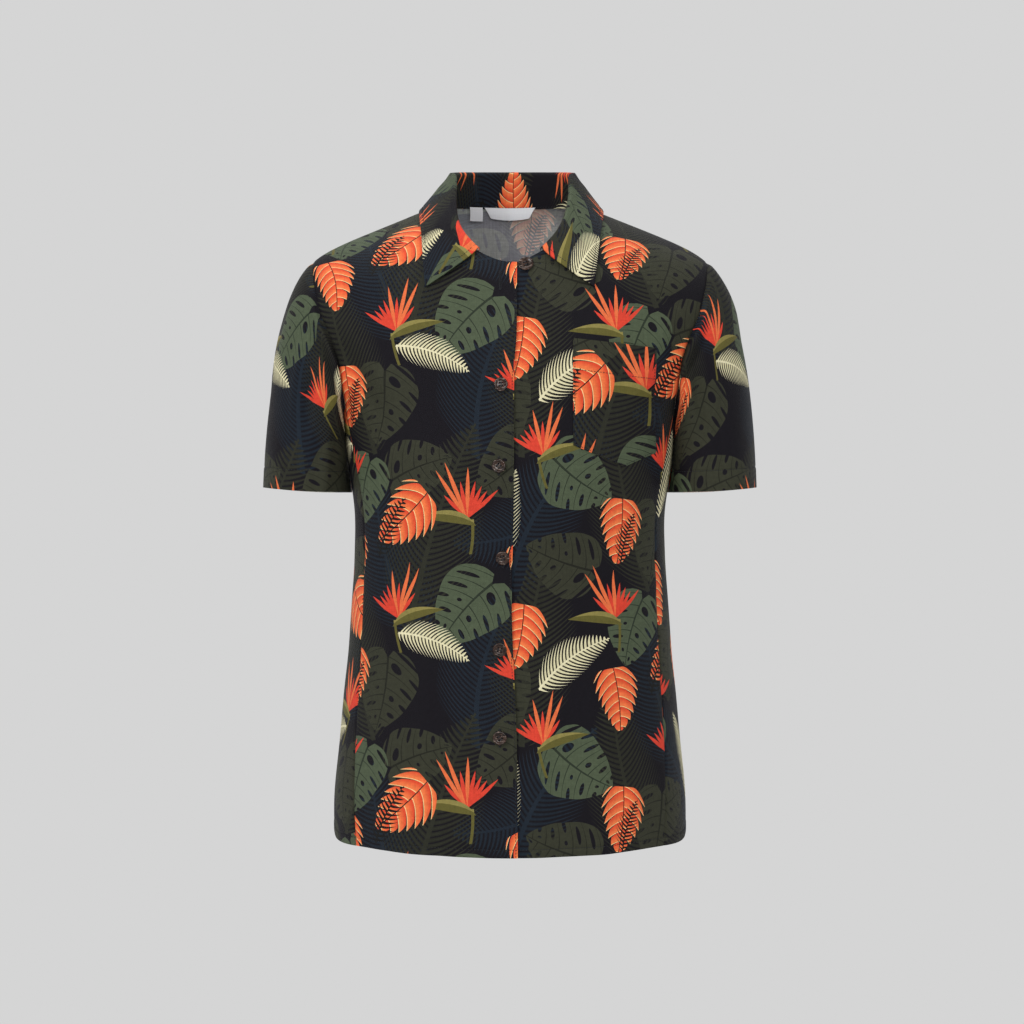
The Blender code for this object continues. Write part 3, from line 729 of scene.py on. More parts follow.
def back_grid(side, shift):
    """Half the back, from its side seam to the centre or the neck."""
    shares = column_shares(BACK_HALF_WIDTH, BACK_COLUMNS, both_ends=False)
    rows = []
    for level in back_levels():
        above_neck = level > BACK_NECK_LEVEL + SAME_LEVEL
        end = neck_turn(LAST_STATION - (level - 1.0)) if above_neck else 0.0
        rows.append([mix(back_seam_turn(level), end, share) for share in shares])
    return panel_grid(back_point, back_levels(), rows, side, shift)


# ---------------------------------------------------------------- the printed pattern
def feed(tree, value, socket):
    """Links a field or socket to an input, or sets the input to a number, vector or colour."""
    value = value.socket if isinstance(value, Field) else value
    if isinstance(value, bpy.types.NodeSocket):
        tree.links.new(value, socket)
    else:
        socket.default_value = (*value, 1.0) if socket.type == "RGBA" else value


def add_node(tree, kind, inputs, **settings):
    """A new shader node with its settings, and its inputs by name or number."""
    node = tree.nodes.new("ShaderNode" + kind)
    for name, value in settings.items():
        setattr(node, name, value)
    for key, value in inputs.items():
        feed(tree, value, node.inputs[key])
    return node


class Field:
    """A number that varies over a surface; arithmetic on it adds Math nodes to its tree."""

    def __init__(self, tree, socket):
        self.tree = tree
        self.socket = socket

    def do(self, operation, *others):
        inputs = dict(enumerate((self, *others)))
        return Field(self.tree, add_node(self.tree, "Math", inputs, operation=operation).outputs[0])

    __add__ = __radd__ = functools.partialmethod(do, "ADD")
    __sub__ = functools.partialmethod(do, "SUBTRACT")
    __rsub__ = functools.partialmethod(do, "MULTIPLY_ADD", -1.0)
    __mul__ = __rmul__ = functools.partialmethod(do, "MULTIPLY")
    __truediv__ = functools.partialmethod(do, "DIVIDE")
    __pow__ = functools.partialmethod(do, "POWER")
    __abs__ = functools.partialmethod(do, "ABSOLUTE")
    above = functools.partialmethod(do, "GREATER_THAN")
    below = functools.partialmethod(do, "LESS_THAN")
    either = functools.partialmethod(do, "MAXIMUM")
    fraction = functools.partialmethod(do, "FRACT")
    floor = functools.partialmethod(do, "FLOOR")
    sign = functools.partialmethod(do, "SIGN")

    def chance(self):
        """A fixed number from 0 to 1 for each whole number."""
        node = add_node(self.tree, "TexWhiteNoise", {"W": self}, noise_dimensions="1D")
        return Field(self.tree, node.outputs["Value"])

    def curve(self, *points):
        """A smooth curve through (place, value) points, places from 0 to 1."""
        node = add_node(self.tree, "FloatCurve", {"Value": self})
        line = node.mapping.curves[0]
        line.points[0].location = points[0]
        line.points[1].location = points[-1]
        for point in points[1:-1]:
            line.points.new(*point)
        node.mapping.update()
        return Field(self.tree, node.outputs["Value"])

    def blend(self, low, high):
        """A colour between two colours or colour sockets."""
        return mixed(self, low, high, "RGBA")


# A Mix node has sockets of its own for each kind of data: its first input and its output.
MIX_SOCKETS = {"VECTOR": (4, 1), "RGBA": (6, 2)}


def mixed(factor, low, high, kind):
    first, output = MIX_SOCKETS[kind]
    inputs = {0: factor, first: low, first + 1: high}
    return add_node(factor.tree, "Mix", inputs, data_type=kind).outputs[output]


# A motif is drawn in its own box, x along it and y across it, both from -1 to 1.
Look = namedtuple("Look", "lanes sweep fill bend body accent")
NIGHT = (0.0056, 0.0046, 0.0074)
BLUE_PALM = Look(17.0, 8.0, 0.70, 0.30, (0.0080, 0.0125, 0.0195), (0.0108, 0.0172, 0.0270))
OLIVE_PALM = Look(18.0, 8.5, 0.74, 0.14, (0.0175, 0.0180, 0.0123), (0.0230, 0.0238, 0.0160))
OLIVE_LEAF = Look(2.7, 1.0, 1.00, 0.10, (0.0330, 0.0345, 0.0215), (0.0142, 0.0148, 0.0098))
SAGE_LEAF = Look(2.9, 0.9, 1.00, -0.14, (0.0690, 0.0890, 0.0520), (0.0230, 0.0310, 0.0195))
CREAM_FERN = Look(10.5, 4.2, 0.66, 0.34, (0.6200, 0.5750, 0.3500), (0.7200, 0.6700, 0.4400))
SHADOW_FERN = Look(7.0, 2.0, 0.60, 0.20, (0.0080, 0.0078, 0.0075), (0.0080, 0.0078, 0.0075))
BRACTS = Look(3.2, 1.9, 1.00, 0.10, (0.6800, 0.0670, 0.0260), (0.8750, 0.2300, 0.0700))
RIM = (0.900, 0.620, 0.290)


def from_midrib(look, x, y, *outline):
    """Which side of a bent midrib a place is on, how far from it, and its share of the half width."""
    bent = y - look.bend * (1.0 - x * x)
    away = abs(bent)
    return bent.sign(), away, away / (x * 0.5 + 0.5).curve(*outline)


def draw_frond(look, x, y):
    """A palm frond or fern: slim leaflets that curve back from a midrib."""
    outline = ((0, 0), (0.10, 0.50), (0.40, 0.92), (0.75, 0.62), (1, 0))
    side, away, out = from_midrib(look, x, y, *outline)
    lane = (x * look.lanes - (away * away * 0.8 + away * 0.4) * look.sweep + side * 0.25).fraction()
    off = abs(lane - 0.5)
    leaflet = off.below((1.0 - out * out) * (0.5 * look.fill))
    rib = away.below(0.036 - 0.022 * x)
    accent = off.below(0.10).either(rib)
    return leaflet.either(rib) * abs(x).below(1.0), accent.blend(look.body, look.accent)


def draw_leaf(look, x, y):
    """A broad leaf with curved veins, slit between them towards its edge and holed by its midrib."""
    outline = ((0, 0.1), (0.07, 0.72), (0.28, 0.98), (0.60, 0.80), (0.86, 0.40), (1, 0))
    side, away, out = from_midrib(look, x, y, *outline)
    lane = x * look.lanes - (away * away * 0.9 + away * 0.35) * look.sweep + side * 0.23
    chance = (lane.floor() + side * 17.0).chance()
    off = abs(lane.fraction() - 0.5)
    slit = (off * 6.2) ** 2.0 + ((out - 0.56 - 0.42 * chance) * 3.6) ** 2.0
    hole = (off * 3.6) ** 2.0 + ((out - 0.30) * 6.0) ** 2.0
    torn = slit.below(0.85).either(hole.below(chance * 5.0 - 3.7))
    cleft = away.below((x * -1.0 - 0.80) * 0.9)
    vein = off.above(0.462 + 0.026 * out).either(away.below(0.024 - 0.014 * x))
    shape = out.below(1.0) * abs(x).below(1.0) * (1.0 - torn.either(cleft))
    return shape, vein.blend(look.body, look.accent)


def draw_bracts(look, x, y):
    """Overlapping curved bracts down a hanging flower head, each with a pale rim."""
    outline = ((0, 0.3), (0.10, 0.88), (0.26, 1.0), (0.60, 0.80), (0.88, 0.42), (1, 0.10))
    side, away, out = from_midrib(look, x, y, *outline)
    lane = (x * look.lanes - (away**1.6) * look.sweep + side * 0.20).fraction()
    shape = out.below(0.58 + 0.42 * lane**0.6) * abs(x).below(1.0)
    gap = lane.below((out - 0.25) * 0.28).either(away.below(0.018))
    body = (lane * 1.2 - 0.2).blend(look.body, look.accent)
    return shape * (1.0 - gap), lane.above(0.93).blend(body, RIM)


PETAL_TURN = 0.20  # radians from petal to petal
CORAL = (0.640, 0.052, 0.028)
PEACH = (0.720, 0.150, 0.050)
SPATHE = (0.110, 0.098, 0.024)
SPATHE_LIGHT = (0.235, 0.200, 0.060)


def draw_flower(_, x, y):
    """A fan of narrow pointed petals over a curved green sheath and its stalk."""
    up = y + 0.34
    reach = (x * x + up * up) ** 0.5
    lane = x.do("ARCTAN2", up) * (1.0 / PETAL_TURN) + 1.1
    cell = lane.floor()
    off = lane - cell - 0.5
    chance = cell.chance()
    share = reach / (0.66 + 0.62 * chance)
    petal = (abs(off) * PETAL_TURN * reach).below(share * (1.0 - share) * 0.165) * abs(cell).below(4.5)
    along = x * 0.78 + up * 0.62 + 0.22
    away = up * 0.78 - x * 0.62 + 0.42 * along * along + 0.02
    spathe = abs(away).below(along * (1.10 - along) * 0.44)
    stalk = abs(x + 0.10 - 0.22 * up * up).below(0.030) * abs(up + 0.36).below(0.34)
    green = spathe.either(stalk)
    petals = chance.above(0.45).blend(CORAL, PEACH)
    leaves = away.above(0.03).blend(SPATHE, SPATHE_LIGHT)
    return petal.either(green), green.blend(petals, leaves)


# Where the motifs lie on the repeat. size and breadth are half their length and width, and a size
# below zero mirrors; the angle is in degrees from across the cloth.
Mark = namedtuple("Mark", "u v angle size breadth")


def marks(*rows):
    """Marks from rows of their fields, in millimetres but for the angle."""
    return [
        Mark(u / 1000.0, v / 1000.0, angle, size / 1000.0, breadth / 1000.0)
        for u, v, angle, size, breadth in rows
    ]


REPEAT = (0.340, 0.274)
MARK_REACH = 1.15  # how far from a box's centre its mark is drawn
LAYERS = (
    (BLUE_PALM, draw_frond, marks(
        (60, 60, 60, 85, 50),
        (190, 165, 110, 80, 52),
        (290, 60, 75, 80, 50),
        (310, 200, 200, 70, 45),
    )),
    (OLIVE_PALM, draw_frond, marks(
        (45, 215, 82, 100, 52),
        (140, 80, 104, 95, 48),
        (235, 190, 72, 105, 54),
        (325, 60, 96, 90, 46),
    )),
    (OLIVE_LEAF, draw_leaf, marks(
        (8, 165, -65, 39, 35),
        (172, 36, -100, 40, 36),
        (298, 250, -140, 38, 34),
        (212, 246, 20, 36, 31),
        (70, 20, 160, 37, 33),
    )),
    (SAGE_LEAF, draw_leaf, marks(
        (262, 112, 228, 42, 36),
        (88, 98, -35, 38, 35),
        (146, 226, 250, 37, 33),
    )),
    (CREAM_FERN, draw_frond, marks(
        (82, 194, 35, 42, 21),
        (20, 62, 82, 43, 19),
        (226, 78, -20, 38, 19),
    )),
    (None, draw_flower, marks(
        (50, 132, 6, 44, 44),
        (120, 252, 8, -46, 46),
        (190, 120, 4, 46, 46),
        (258, 216, 6, -48, 48),
        (305, 60, 12, 42, 42),
    )),
    (BRACTS, draw_bracts, marks(
        (28, 220, -100, 31, 24),
        (124, 160, -82, 30, 24),
        (194, 202, -140, 35, 28),
        (322, 152, -66, 29, 22),
        (128, 46, -96, 31, 25),
    )),
    (SHADOW_FERN, draw_frond, marks(
        (182, 192, 60, 32, 17),
        (138, 40, 70, 25, 13),
    )),
)


def chosen_place(tree, uv, places):
    """Coordinates in the box of whichever mark covers the place."""
    chosen = None
    for mark in places:
        far, near = [
            (mark.u + way * 0.5 * REPEAT[0], mark.v + way * 0.5 * REPEAT[1], way) for way in (1.0, -1.0)
        ]
        box = {
            "Vector": add_node(tree, "VectorMath", {0: uv, 1: far, 2: near}, operation="WRAP").outputs[0],
            "Location": (mark.u, mark.v, 0.0),
            "Rotation": (0.0, 0.0, math.radians(mark.angle)),
            "Scale": (mark.size, mark.breadth, 1.0),
        }
        local = add_node(tree, "Mapping", box, vector_type="TEXTURE").outputs[0]
        covers = vector_length(tree, local).below(MARK_REACH)
        chosen = mixed(covers, chosen, local, "VECTOR") if chosen else local
    return chosen


def vector_length(tree, place):
    node = add_node(tree, "VectorMath", {0: place}, operation="LENGTH")
    return Field(tree, node.outputs["Value"])


def split_place(tree, place):
    """Fields of the first two coordinates of a place."""
    return [Field(tree, add_node(tree, "SeparateXYZ", {0: place}).outputs[axis]) for axis in (0, 1)]


@functools.cache
def print_group():
    """Node group of the whole printed pattern: coordinates on the cloth in, colour out."""
    tree = bpy.data.node_groups.new("tropical_print", "ShaderNodeTree")
    tree.interface.new_socket("Cloth", in_out="INPUT", socket_type="NodeSocketVector")
    tree.interface.new_socket("Colour", in_out="OUTPUT", socket_type="NodeSocketColor")
    uv = tree.nodes.new("NodeGroupInput").outputs["Cloth"]
    result = tree.nodes.new("NodeGroupOutput")
    colour = NIGHT
    for look, draw, places in LAYERS:
        cover, ink = draw(look, *split_place(tree, chosen_place(tree, uv, places)))
        colour = cover.blend(colour, ink)
    tree.links.new(colour, result.inputs["Colour"])
    return tree


# ---------------------------------------------------------------- materials
WEAVE_PITCH = 0.0005
TAPE_PITCH = 0.0008
YARN_SLUBS = 1.1  # how often a yarn's thickness changes, across the yarns and along them
YARN_DRIFT = 35.0
# Pale yarn of the reverse, made paler than the yarn as painted light for the shaded inside of the shirt.
BARE_YARN_AND_PAINTED_LIGHT = (0.860, 0.885, 0.960)
PALING = 0.28  # below 1 the print shows paler on the reverse


def noise_field(tree, place, stretch, detail=2.0):
    """Soft noise from 0 to 1, finer along the axes that are stretched more."""
    scaled = add_node(tree, "VectorMath", {0: place, 1: stretch}, operation="MULTIPLY").outputs[0]
    inputs = {"Vector": scaled, "Scale": 1.0, "Detail": detail}
    return Field(tree, add_node(tree, "TexNoise", inputs).outputs[0])


def weave_fields(tree, place, pitch):
    """The height of a plain weave, and how thick or thin its yarns run."""
    across, along = [(way * (math.tau / pitch)).do("SINE") for way in split_place(tree, place)]
    warp = noise_field(tree, place, (YARN_SLUBS / pitch, YARN_DRIFT, 1.0))
    weft = noise_field(tree, place, (YARN_DRIFT, YARN_SLUBS / pitch, 1.0))
    return across * along, warp + weft - 1.0


def tinted(tree, colour, amount):
    """A colour made lighter or darker by a field."""
    return add_node(tree, "VectorMath", {0: colour, "Scale": amount}, operation="SCALE").outputs[0]


def bumped(tree, height, distance):
    return add_node(tree, "Bump", {"Distance": distance, "Height": height}).outputs["Normal"]


# Each look gives the inputs of its material's shader.
def cloth_look(tree, colour, weave, contrast):
    """Colour, gloss and relief of a weave over a colour, with painted light and shade of the weave in the
    colour.
    """
    height, yarn = weave
    mottle = noise_field(tree, cloth_place(tree), (260.0, 260.0, 1.0), detail=4.0)
    return {
        # The height term is painted light and shade of the weave: lighter where the yarns rise, darker in
        # the hollows.
        "Base Color": tinted(tree, colour, yarn * contrast + height * 0.06 + mottle * 0.50 + 0.75),
        "Roughness": yarn * 0.15 + 0.54,
        "Normal": bumped(tree, height + yarn * 1.5, 0.00006),
    }


def printed_colour(tree):
    return add_node(tree, "Group", {"Cloth": cloth_place(tree)}, node_tree=print_group()).outputs[0]


def cloth_place(tree):
    return add_node(tree, "UVMap", {}, uv_map="print").outputs["UV"]


def print_look(tree):
    weave = weave_fields(tree, cloth_place(tree), WEAVE_PITCH)
    look = cloth_look(tree, printed_colour(tree), weave, 0.35)
    return {**look, "Specular IOR Level": 0.10, "Sheen Weight": 0.01}


def reverse_look(tree):
    """The cloth's unprinted side, where the print shows through faintly, over pale yarn that is partly
    painted light.
    """
    weave = weave_fields(tree, cloth_place(tree), WEAVE_PITCH)
    paled = add_node(tree, "Gamma", {"Color": printed_colour(tree), "Gamma": PALING}).outputs[0]
    # The bare yarn mixed in here is painted paler than the yarn, as painted light for the shaded inside.
    through = (weave[1] * 0.2 + 0.24).blend(paled, BARE_YARN_AND_PAINTED_LIGHT)
    look = cloth_look(tree, through, weave, 0.55)
    return {**look, "Specular IOR Level": 0.15, "Sheen Weight": 0.04}


def object_place(tree):
    return add_node(tree, "TexCoord", {}).outputs["Object"]


def thread_look(tree):
    twist = noise_field(tree, object_place(tree), (6000.0, 6000.0, 6000.0))
    return {
        "Base Color": twist.blend((0.0060, 0.0065, 0.0090), (0.0170, 0.0180, 0.0230)),
        "Roughness": 0.55,
        "Specular IOR Level": 0.3,
        "Normal": bumped(tree, twist, 0.00005),
    }


def label_look(tree):
    """White satin tape with a fine rib, and painted light and shade of the rib in its colour."""
    height, yarn = weave_fields(tree, cloth_place(tree), TAPE_PITCH)
    colour = (yarn * 0.8 + 0.5).blend((0.640, 0.645, 0.670), (0.760, 0.765, 0.790))
    return {
        # The height term is painted light and shade of the rib: lighter on its ridges, darker in its
        # hollows.
        "Base Color": tinted(tree, colour, height * 0.05 + 1.0),
        "Roughness": 0.50,
        "Specular IOR Level": 0.35,
        "Normal": bumped(tree, height + yarn, 0.00008),
    }


def button_look(tree):
    """Polished dark horn, clouded and streaked with paler brown and grey."""
    place = object_place(tree)
    cloud = noise_field(tree, place, (330.0, 330.0, 330.0), detail=4.0)
    streak = noise_field(tree, place, (260.0, 260.0, 1300.0), detail=5.0)
    brown = (cloud * 2.6 - 0.8).blend((0.0050, 0.0028, 0.0024), (0.0440, 0.0220, 0.0150))
    streaked = (streak * 6.0 - 3.4).do("MINIMUM", 0.8).do("MAXIMUM", 0.0)
    return {
        "Base Color": streaked.blend(brown, (0.270, 0.205, 0.170)),
        "Roughness": streak * 0.2 + 0.14,
        "Specular IOR Level": 0.18,
        "Coat Weight": 0.08,
        "Normal": bumped(tree, cloud, 0.00005),
    }


def floor_look(tree):
    """Pale and matt, and fading out towards the rim of the floor."""
    place = object_place(tree)
    reach = vector_length(tree, place) / FLOOR_RADIUS
    speck = noise_field(tree, place, (40.0, 40.0, 40.0))
    return {
        "Base Color": speck.blend((0.600, 0.600, 0.600), (0.650, 0.650, 0.650)),
        "Roughness": 0.9,
        "Specular IOR Level": 0.1,
        "Alpha": (1.0 - reach**2.0).do("MAXIMUM", 0.0),
    }


LOOKS = {
    "print": print_look,
    "reverse": reverse_look,
    "thread": thread_look,
    "label": label_look,
    "button": button_look,
    "floor": floor_look,
}


@functools.cache
def material(name):
    """The named material, made when it is first asked for."""
    made = bpy.data.materials.new(name)
    made.use_nodes = True
    shader = made.node_tree.nodes["Principled BSDF"]
    for key, value in LOOKS[name](made.node_tree).items():
        feed(made.node_tree, value, shader.inputs[key])
    return made


# ---------------------------------------------------------------- cloth meshes
def mesh_from(shape, name):
    mesh = bpy.data.meshes.new(name)
    shape.to_mesh(mesh)
    shape.free()
    return mesh


def add_object(name, data):
    thing = bpy.data.objects.new(name, data)
    bpy.context.scene.collection.objects.link(thing)
    return thing


def join_rings(shape, rings):
    """Faces between each ring of vertices and the next, closed all round."""
    for low, high in zip(rings, rings[1:]):
        for step in range(len(low)):
            after = (step + 1) % len(low)
            shape.faces.new([low[step], low[after], high[after], high[step]])


def cloth_piece(name, grids, thickness=CLOTH, even=True):
    """A thin shell whose outer face is the grids: (grid, flip) pairs, flip turns the faces round."""
    shape = bmesh.new()
    uv_layer = shape.loops.layers.uv.new("print")
    for grid, flip in grids:
        rows = [[shape.verts.new(spot.point) for spot in line] for line in grid]
        for low in range(len(rows) - 1):
            for left in range(len(rows[0]) - 1):
                corners = [(low, left), (low, left + 1), (low + 1, left + 1), (low + 1, left)]
                if flip:
                    corners.reverse()
                face = shape.faces.new([rows[row][column] for row, column in corners])
                for loop, (row, column) in zip(face.loops, corners):
                    loop[uv_layer].uv = grid[row][column].uv
    bmesh.ops.remove_doubles(shape, verts=shape.verts, dist=WELD_DISTANCE)
    piece = add_object(name, mesh_from(shape, name))
    piece.data.materials.append(material("print"))
    piece.data.materials.append(material("reverse"))
    thick = piece.modifiers.new("thickness", "SOLIDIFY")
    thick.thickness = thickness
    thick.offset = -1.0
    thick.material_offset = 1
    thick.use_even_offset = even
    apply_modifiers(piece)
    return piece


def apply_modifiers(piece):
    graph = bpy.context.evaluated_depsgraph_get()
    made = bpy.data.meshes.new_from_object(piece.evaluated_get(graph))
    piece.modifiers.clear()
    piece.data = made
    made.shade_smooth()
    made.set_sharp_from_angle(angle=SHARP_ANGLE)


def place_sheet(piece, node, slot, width, length, area):
    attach(piece, "root")
    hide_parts(node)


# ---------------------------------------------------------------- sleeves
SLEEVE_ROWS = 62
SLEEVE_SAMPLES = 40  # along which a sleeve's rows are measured out
SLEEVE_GIRTH = 0.40  # flat width of a sleeve, round the arm
SLEEVE_SINK = 0.0035  # how far from the armhole a sleeve is drawn in
SLEEVE_CALM = 0.006  # and how far from it the creases set in
SLEEVE_START = (0.0, 0.0010, 0.0022, 0.0036, 0.0055)
SLEEVE_END = (0.0230, 0.0215, 0.0206, 0.0200, 0.0194, 0.0184, 0.0165, 0.0010, 0.0)


def armhole_loop():
    """Points and panel normals round the left armhole: up the front, over, and down the back."""
    places = [(front_point, level, seam_turn(level)) for level in front_levels() if level >= 1.0]
    for level in reversed(back_levels()[:-1]):
        if level > 1.0:
            places.append((back_point, level, back_seam_turn(level)))
    return [(place[0](*place[1:]), outward_normal(*place)) for place in places]


def round_shares(points):
    """How far round a closed loop each point lies, from 0 to 1."""
    reached = running_lengths([*points, points[0]])
    return [length / reached[-1] for length in reached[:-1]]


def clear_of_torso(point):
    """The point, moved sideways where it would touch the torso."""
    ring = look_up(TORSO_RINGS, point.z)
    middle, depth = ring_middle(ring)
    across = min(abs((point.y - middle) / depth), 1.0)
    body_x = ring.half_width * (1.0 - across**SQUARENESS) ** (1.0 / SQUARENESS)
    return Vector((max(point.x, body_x + WALL + CLOSE_TO_BODY), point.y, point.z))


def sleeve_point(start, share, along):
    """A point on the way from the armhole to the cuff, share of the way round from the underarm."""
    angle = math.tau * share
    up = 0.5 * (1.0 - math.cos(angle))
    forward = abs(math.sin(angle)) ** mix(CUFF_FLATNESS, 1.0, up)
    cuff = Vector((
        mix(CUFF.inner_x, CUFF.outer_x, up),
        CUFF.middle_y - math.copysign(CUFF.depth * forward, math.sin(angle)),
        mix(CUFF.inner_z, CUFF.outer_z, up**CUFF_RISE),
    ))
    turn = math.radians(mix(0.0, CAP_TURN, up))
    leave = Vector((math.sin(turn), 0.0, -math.cos(turn))) * mix(UNDER_REACH, CAP_REACH, up)
    leave.y -= CAP_FULLNESS * math.sin(angle)
    arrive = Vector((CUFF_SPREAD * up, 0.0, -mix(0.5, 1.0, up) * CUFF_REACH))
    return hermite(start, cuff, leave, arrive, along)


def sleeve_line(start, normal, share):
    """Points from the armhole to the cuff, each with how far it lies from the one and the other."""
    samples = [sleeve_point(start, share, step / SLEEVE_SAMPLES) for step in range(SLEEVE_SAMPLES + 1)]
    reached = running_lengths(samples)
    total = reached[-1]
    begin, end = SLEEVE_START[-1], total - SLEEVE_END[0]
    goals = list(SLEEVE_START[:-1]) + [mix(begin, end, step / SLEEVE_ROWS) for step in range(SLEEVE_ROWS)]
    goals += [total - depth for depth in SLEEVE_END]
    line = []
    for goal in goals:
        index, part = step_at(reached, goal)
        point = clear_of_torso(sleeve_point(start, share, (index + part) / SLEEVE_SAMPLES))
        sunk = (LAYER_GAP + SEAM_GROOVE) * bump(goal, SLEEVE_SINK)
        line.append((point - normal * sunk, goal, total - goal))
    return line


def grid_normals(rows, closed=False):
    """Normals of a grid of points from their neighbours. Its columns close if closed is set."""
    normals = []
    for index, row in enumerate(rows):
        below, above = rows[max(index - 1, 0)], rows[min(index + 1, len(rows) - 1)]
        around = [row[-1], *row, row[0]] if closed else [row[0], *row, row[-1]]
        normals.append([
            (right - left).cross(high - low).normalized()
            for left, right, low, high in zip(around, around[2:], below, above)
        ])
    return normals


def sleeve_grid(side, shift):
    loop = armhole_loop()
    shares = round_shares([point for point, _ in loop])
    lines = []
    for (point, normal), share in zip(loop, shares):
        lines.append(sleeve_line(point + normal * (WALL + LAYER_GAP), normal, share))
    rows = [[line[index][0] for line in lines] for index in reversed(range(len(lines[0])))]
    normals = grid_normals(rows, closed=True)
    top = min(range(len(shares)), key=lambda column: abs(shares[column] - 0.5))
    grid = []
    for index, row in enumerate(rows):
        reached = running_lengths([*row, row[0]])
        spots = []
        for column, point in enumerate(row):
            _, from_armhole, from_cuff = lines[column][-1 - index]
            around = (shares[column] - 0.5) * SLEEVE_GIRTH
            wave = crease_depth(SLEEVE_CREASES[side], around, -from_armhole)
            wave += ripple(point + Vector((side, 0.0, 0.0)))
            lift = hem_relief(from_cuff, CUFF_HEM_DEPTH)
            lift += wave * smooth_step(from_armhole, 0.0, SLEEVE_CALM)
            normal = normals[index][column]
            uv = (side * (reached[column] - reached[top]) + shift[0], from_cuff + shift[1])
            spots.append(Spot(sided(point + normal * lift, side), sided(normal, side), uv))
        last = spots[0]
        spots.append(Spot(last.point, last.normal, (last.uv[0] + side * reached[-1], last.uv[1])))
        grid.append(spots)
    return grid


# ---------------------------------------------------------------- collar
COLLAR_COLUMNS = 84  # on each side
RISE_STEPS = 8
ROLL_STEPS = 12
LEAF_STEPS = 34
LEAF_LIFT = 0.45  # share of the leaf over which it comes clear of the shoulder
ROUNDED_STEPS = (4, 8)  # rows before and after the roll that are rounded off
ROUNDING_PASSES = 16


def collar_places(count):
    """Places along the neck seam, from the collar's front end to centre back."""

    def beyond_start(station):
        return yoke_point(station, neck_turn(station)).x - COLLAR_START

    first = crossing(beyond_start, FRONT_NECK_STATION + 1e-4, RIDGE - 0.5)
    places = neck_places(first, RIDGE) + neck_places(RIDGE, BACK_NECK_STATION)[1:]
    return evenly_along(places, count)


def from_neck_axis(point):
    return Vector((point.x, point.y - NECK_AXIS_Y, 0.0)).normalized()


def collar_section(station, turn, along, side):
    """One section of the collar, from the neck seam over the roll to the leaf's edge."""
    leaf = look_up(COLLAR_LEAF, along)
    seam = yoke_point(station, turn)
    outward = from_neck_axis(seam)
    seam -= outward * COLLAR_GAP
    tilt = side * COLLAR_TILT * smooth_step(along, *TILT_RANGE)
    top = UP * (leaf.rise - ROLL_RADIUS) - outward * leaf.lean + Vector((tilt, 0.0, 0.0))
    section = [seam + top * (step / RISE_STEPS) for step in range(RISE_STEPS + 1)]
    for cosine, sine in circle(2 * ROLL_STEPS)[1:ROLL_STEPS]:
        section.append(seam + top + (outward * (1.0 - cosine) + UP * sine) * ROLL_RADIUS)
    for step in range(LEAF_STEPS + 1):
        share = step / LEAF_STEPS
        base_station = mix(station, leaf.edge_station, share)
        base_turn = yoke_turn(base_station, mix(seam.x, leaf.edge_x, share))
        base = yoke_point(base_station, base_turn)
        clear = smooth_step(share, 0.0, LEAF_LIFT)
        base += outward_normal(yoke_point, base_station, base_turn) * (WALL + LEAF_CLEARANCE) * clear
        base.x += tilt * share * 0.5
        folded = top + outward * (2.0 * ROLL_RADIUS - COLLAR_GAP)
        section.append(base + folded * (1.0 - share))
    return [sided(point, side) for point in section]


def collar_grid(shift):
    halves = {-1: [], 1: []}
    for step, (station, turn) in enumerate(collar_places(COLLAR_COLUMNS)):
        for side, sections in halves.items():
            sections.append(collar_section(station, turn, step / COLLAR_COLUMNS, side))
    middle = [0.5 * (a + b) for a, b in zip(halves[1].pop(), halves[-1].pop())]
    sections = [*halves[1], middle, *reversed(halves[-1])]
    return outer_collar(sections, shift)


def eased(points, first, last, passes):
    """The points, with a tight turn between two of them rounded off."""
    for _ in range(passes):
        near = zip(points[first - 1:], points[first:last], points[first + 1:])
        points = points[:first] + [0.25 * a + 0.5 * b + 0.25 * c for a, b, c in near] + points[last:]
    return points


def outer_collar(sections, shift):
    """The collar's face that shows: the inside of its rise and the top of its leaf."""
    normals = grid_normals(sections)
    middle = len(sections) // 2
    round_edge = running_lengths([section[-1] for section in sections])
    roll_end = RISE_STEPS + ROLL_STEPS
    first, last = roll_end - ROUNDED_STEPS[0], roll_end + ROUNDED_STEPS[1]
    grid = []
    for section, section_normals, round_here in zip(sections, normals, round_edge):
        down = running_lengths(section)
        points, uvs = [], []
        for point, normal, length in zip(section, section_normals, down):
            from_edge = down[-1] - length
            lift = COLLAR_WALL - STITCH_DIMPLE * bump(from_edge - COLLAR_STITCH, DIMPLE_WIDTH)
            lift -= EDGE_ROUNDING * bump(from_edge, EDGE_ROUND_WIDTH)
            points.append(point + normal * lift)
            uvs.append((round_here - round_edge[middle] + shift[0], from_edge + shift[1]))
        points = eased(points, first, last, ROUNDING_PASSES)
        grid.append([Spot(*spot) for spot in zip(points, section_normals, uvs)])
    return grid


# ---------------------------------------------------------------- pocket and labels
POCKET_COLUMNS = 56
POCKET_ROWS = 60
POCKET_STAND = 0.0001
POCKET_FULLNESS = 0.0009
POCKET_EDGE = 0.008  # over which it becomes full
POCKET_MOUTH = 0.05  # over which it becomes less full again
POCKET_LOW_SHARE = 0.6
LABEL_ROWS = 10
LABEL_COLUMNS = 24
LABEL_BOW = 0.0004
NECK_LABEL_TAPER = 0.24  # share of its width that it loses towards its lower edge


def pocket_low(x):
    """The height of the pocket's pointed lower edge."""
    if x < POCKET.point_x:
        share = (x - POCKET.left_x) / (POCKET.point_x - POCKET.left_x)
        return mix(POCKET.left_low, POCKET.point_z, share)
    share = (POCKET.right_x - x) / (POCKET.right_x - POCKET.point_x)
    return mix(POCKET.right_low, POCKET.point_z, share)


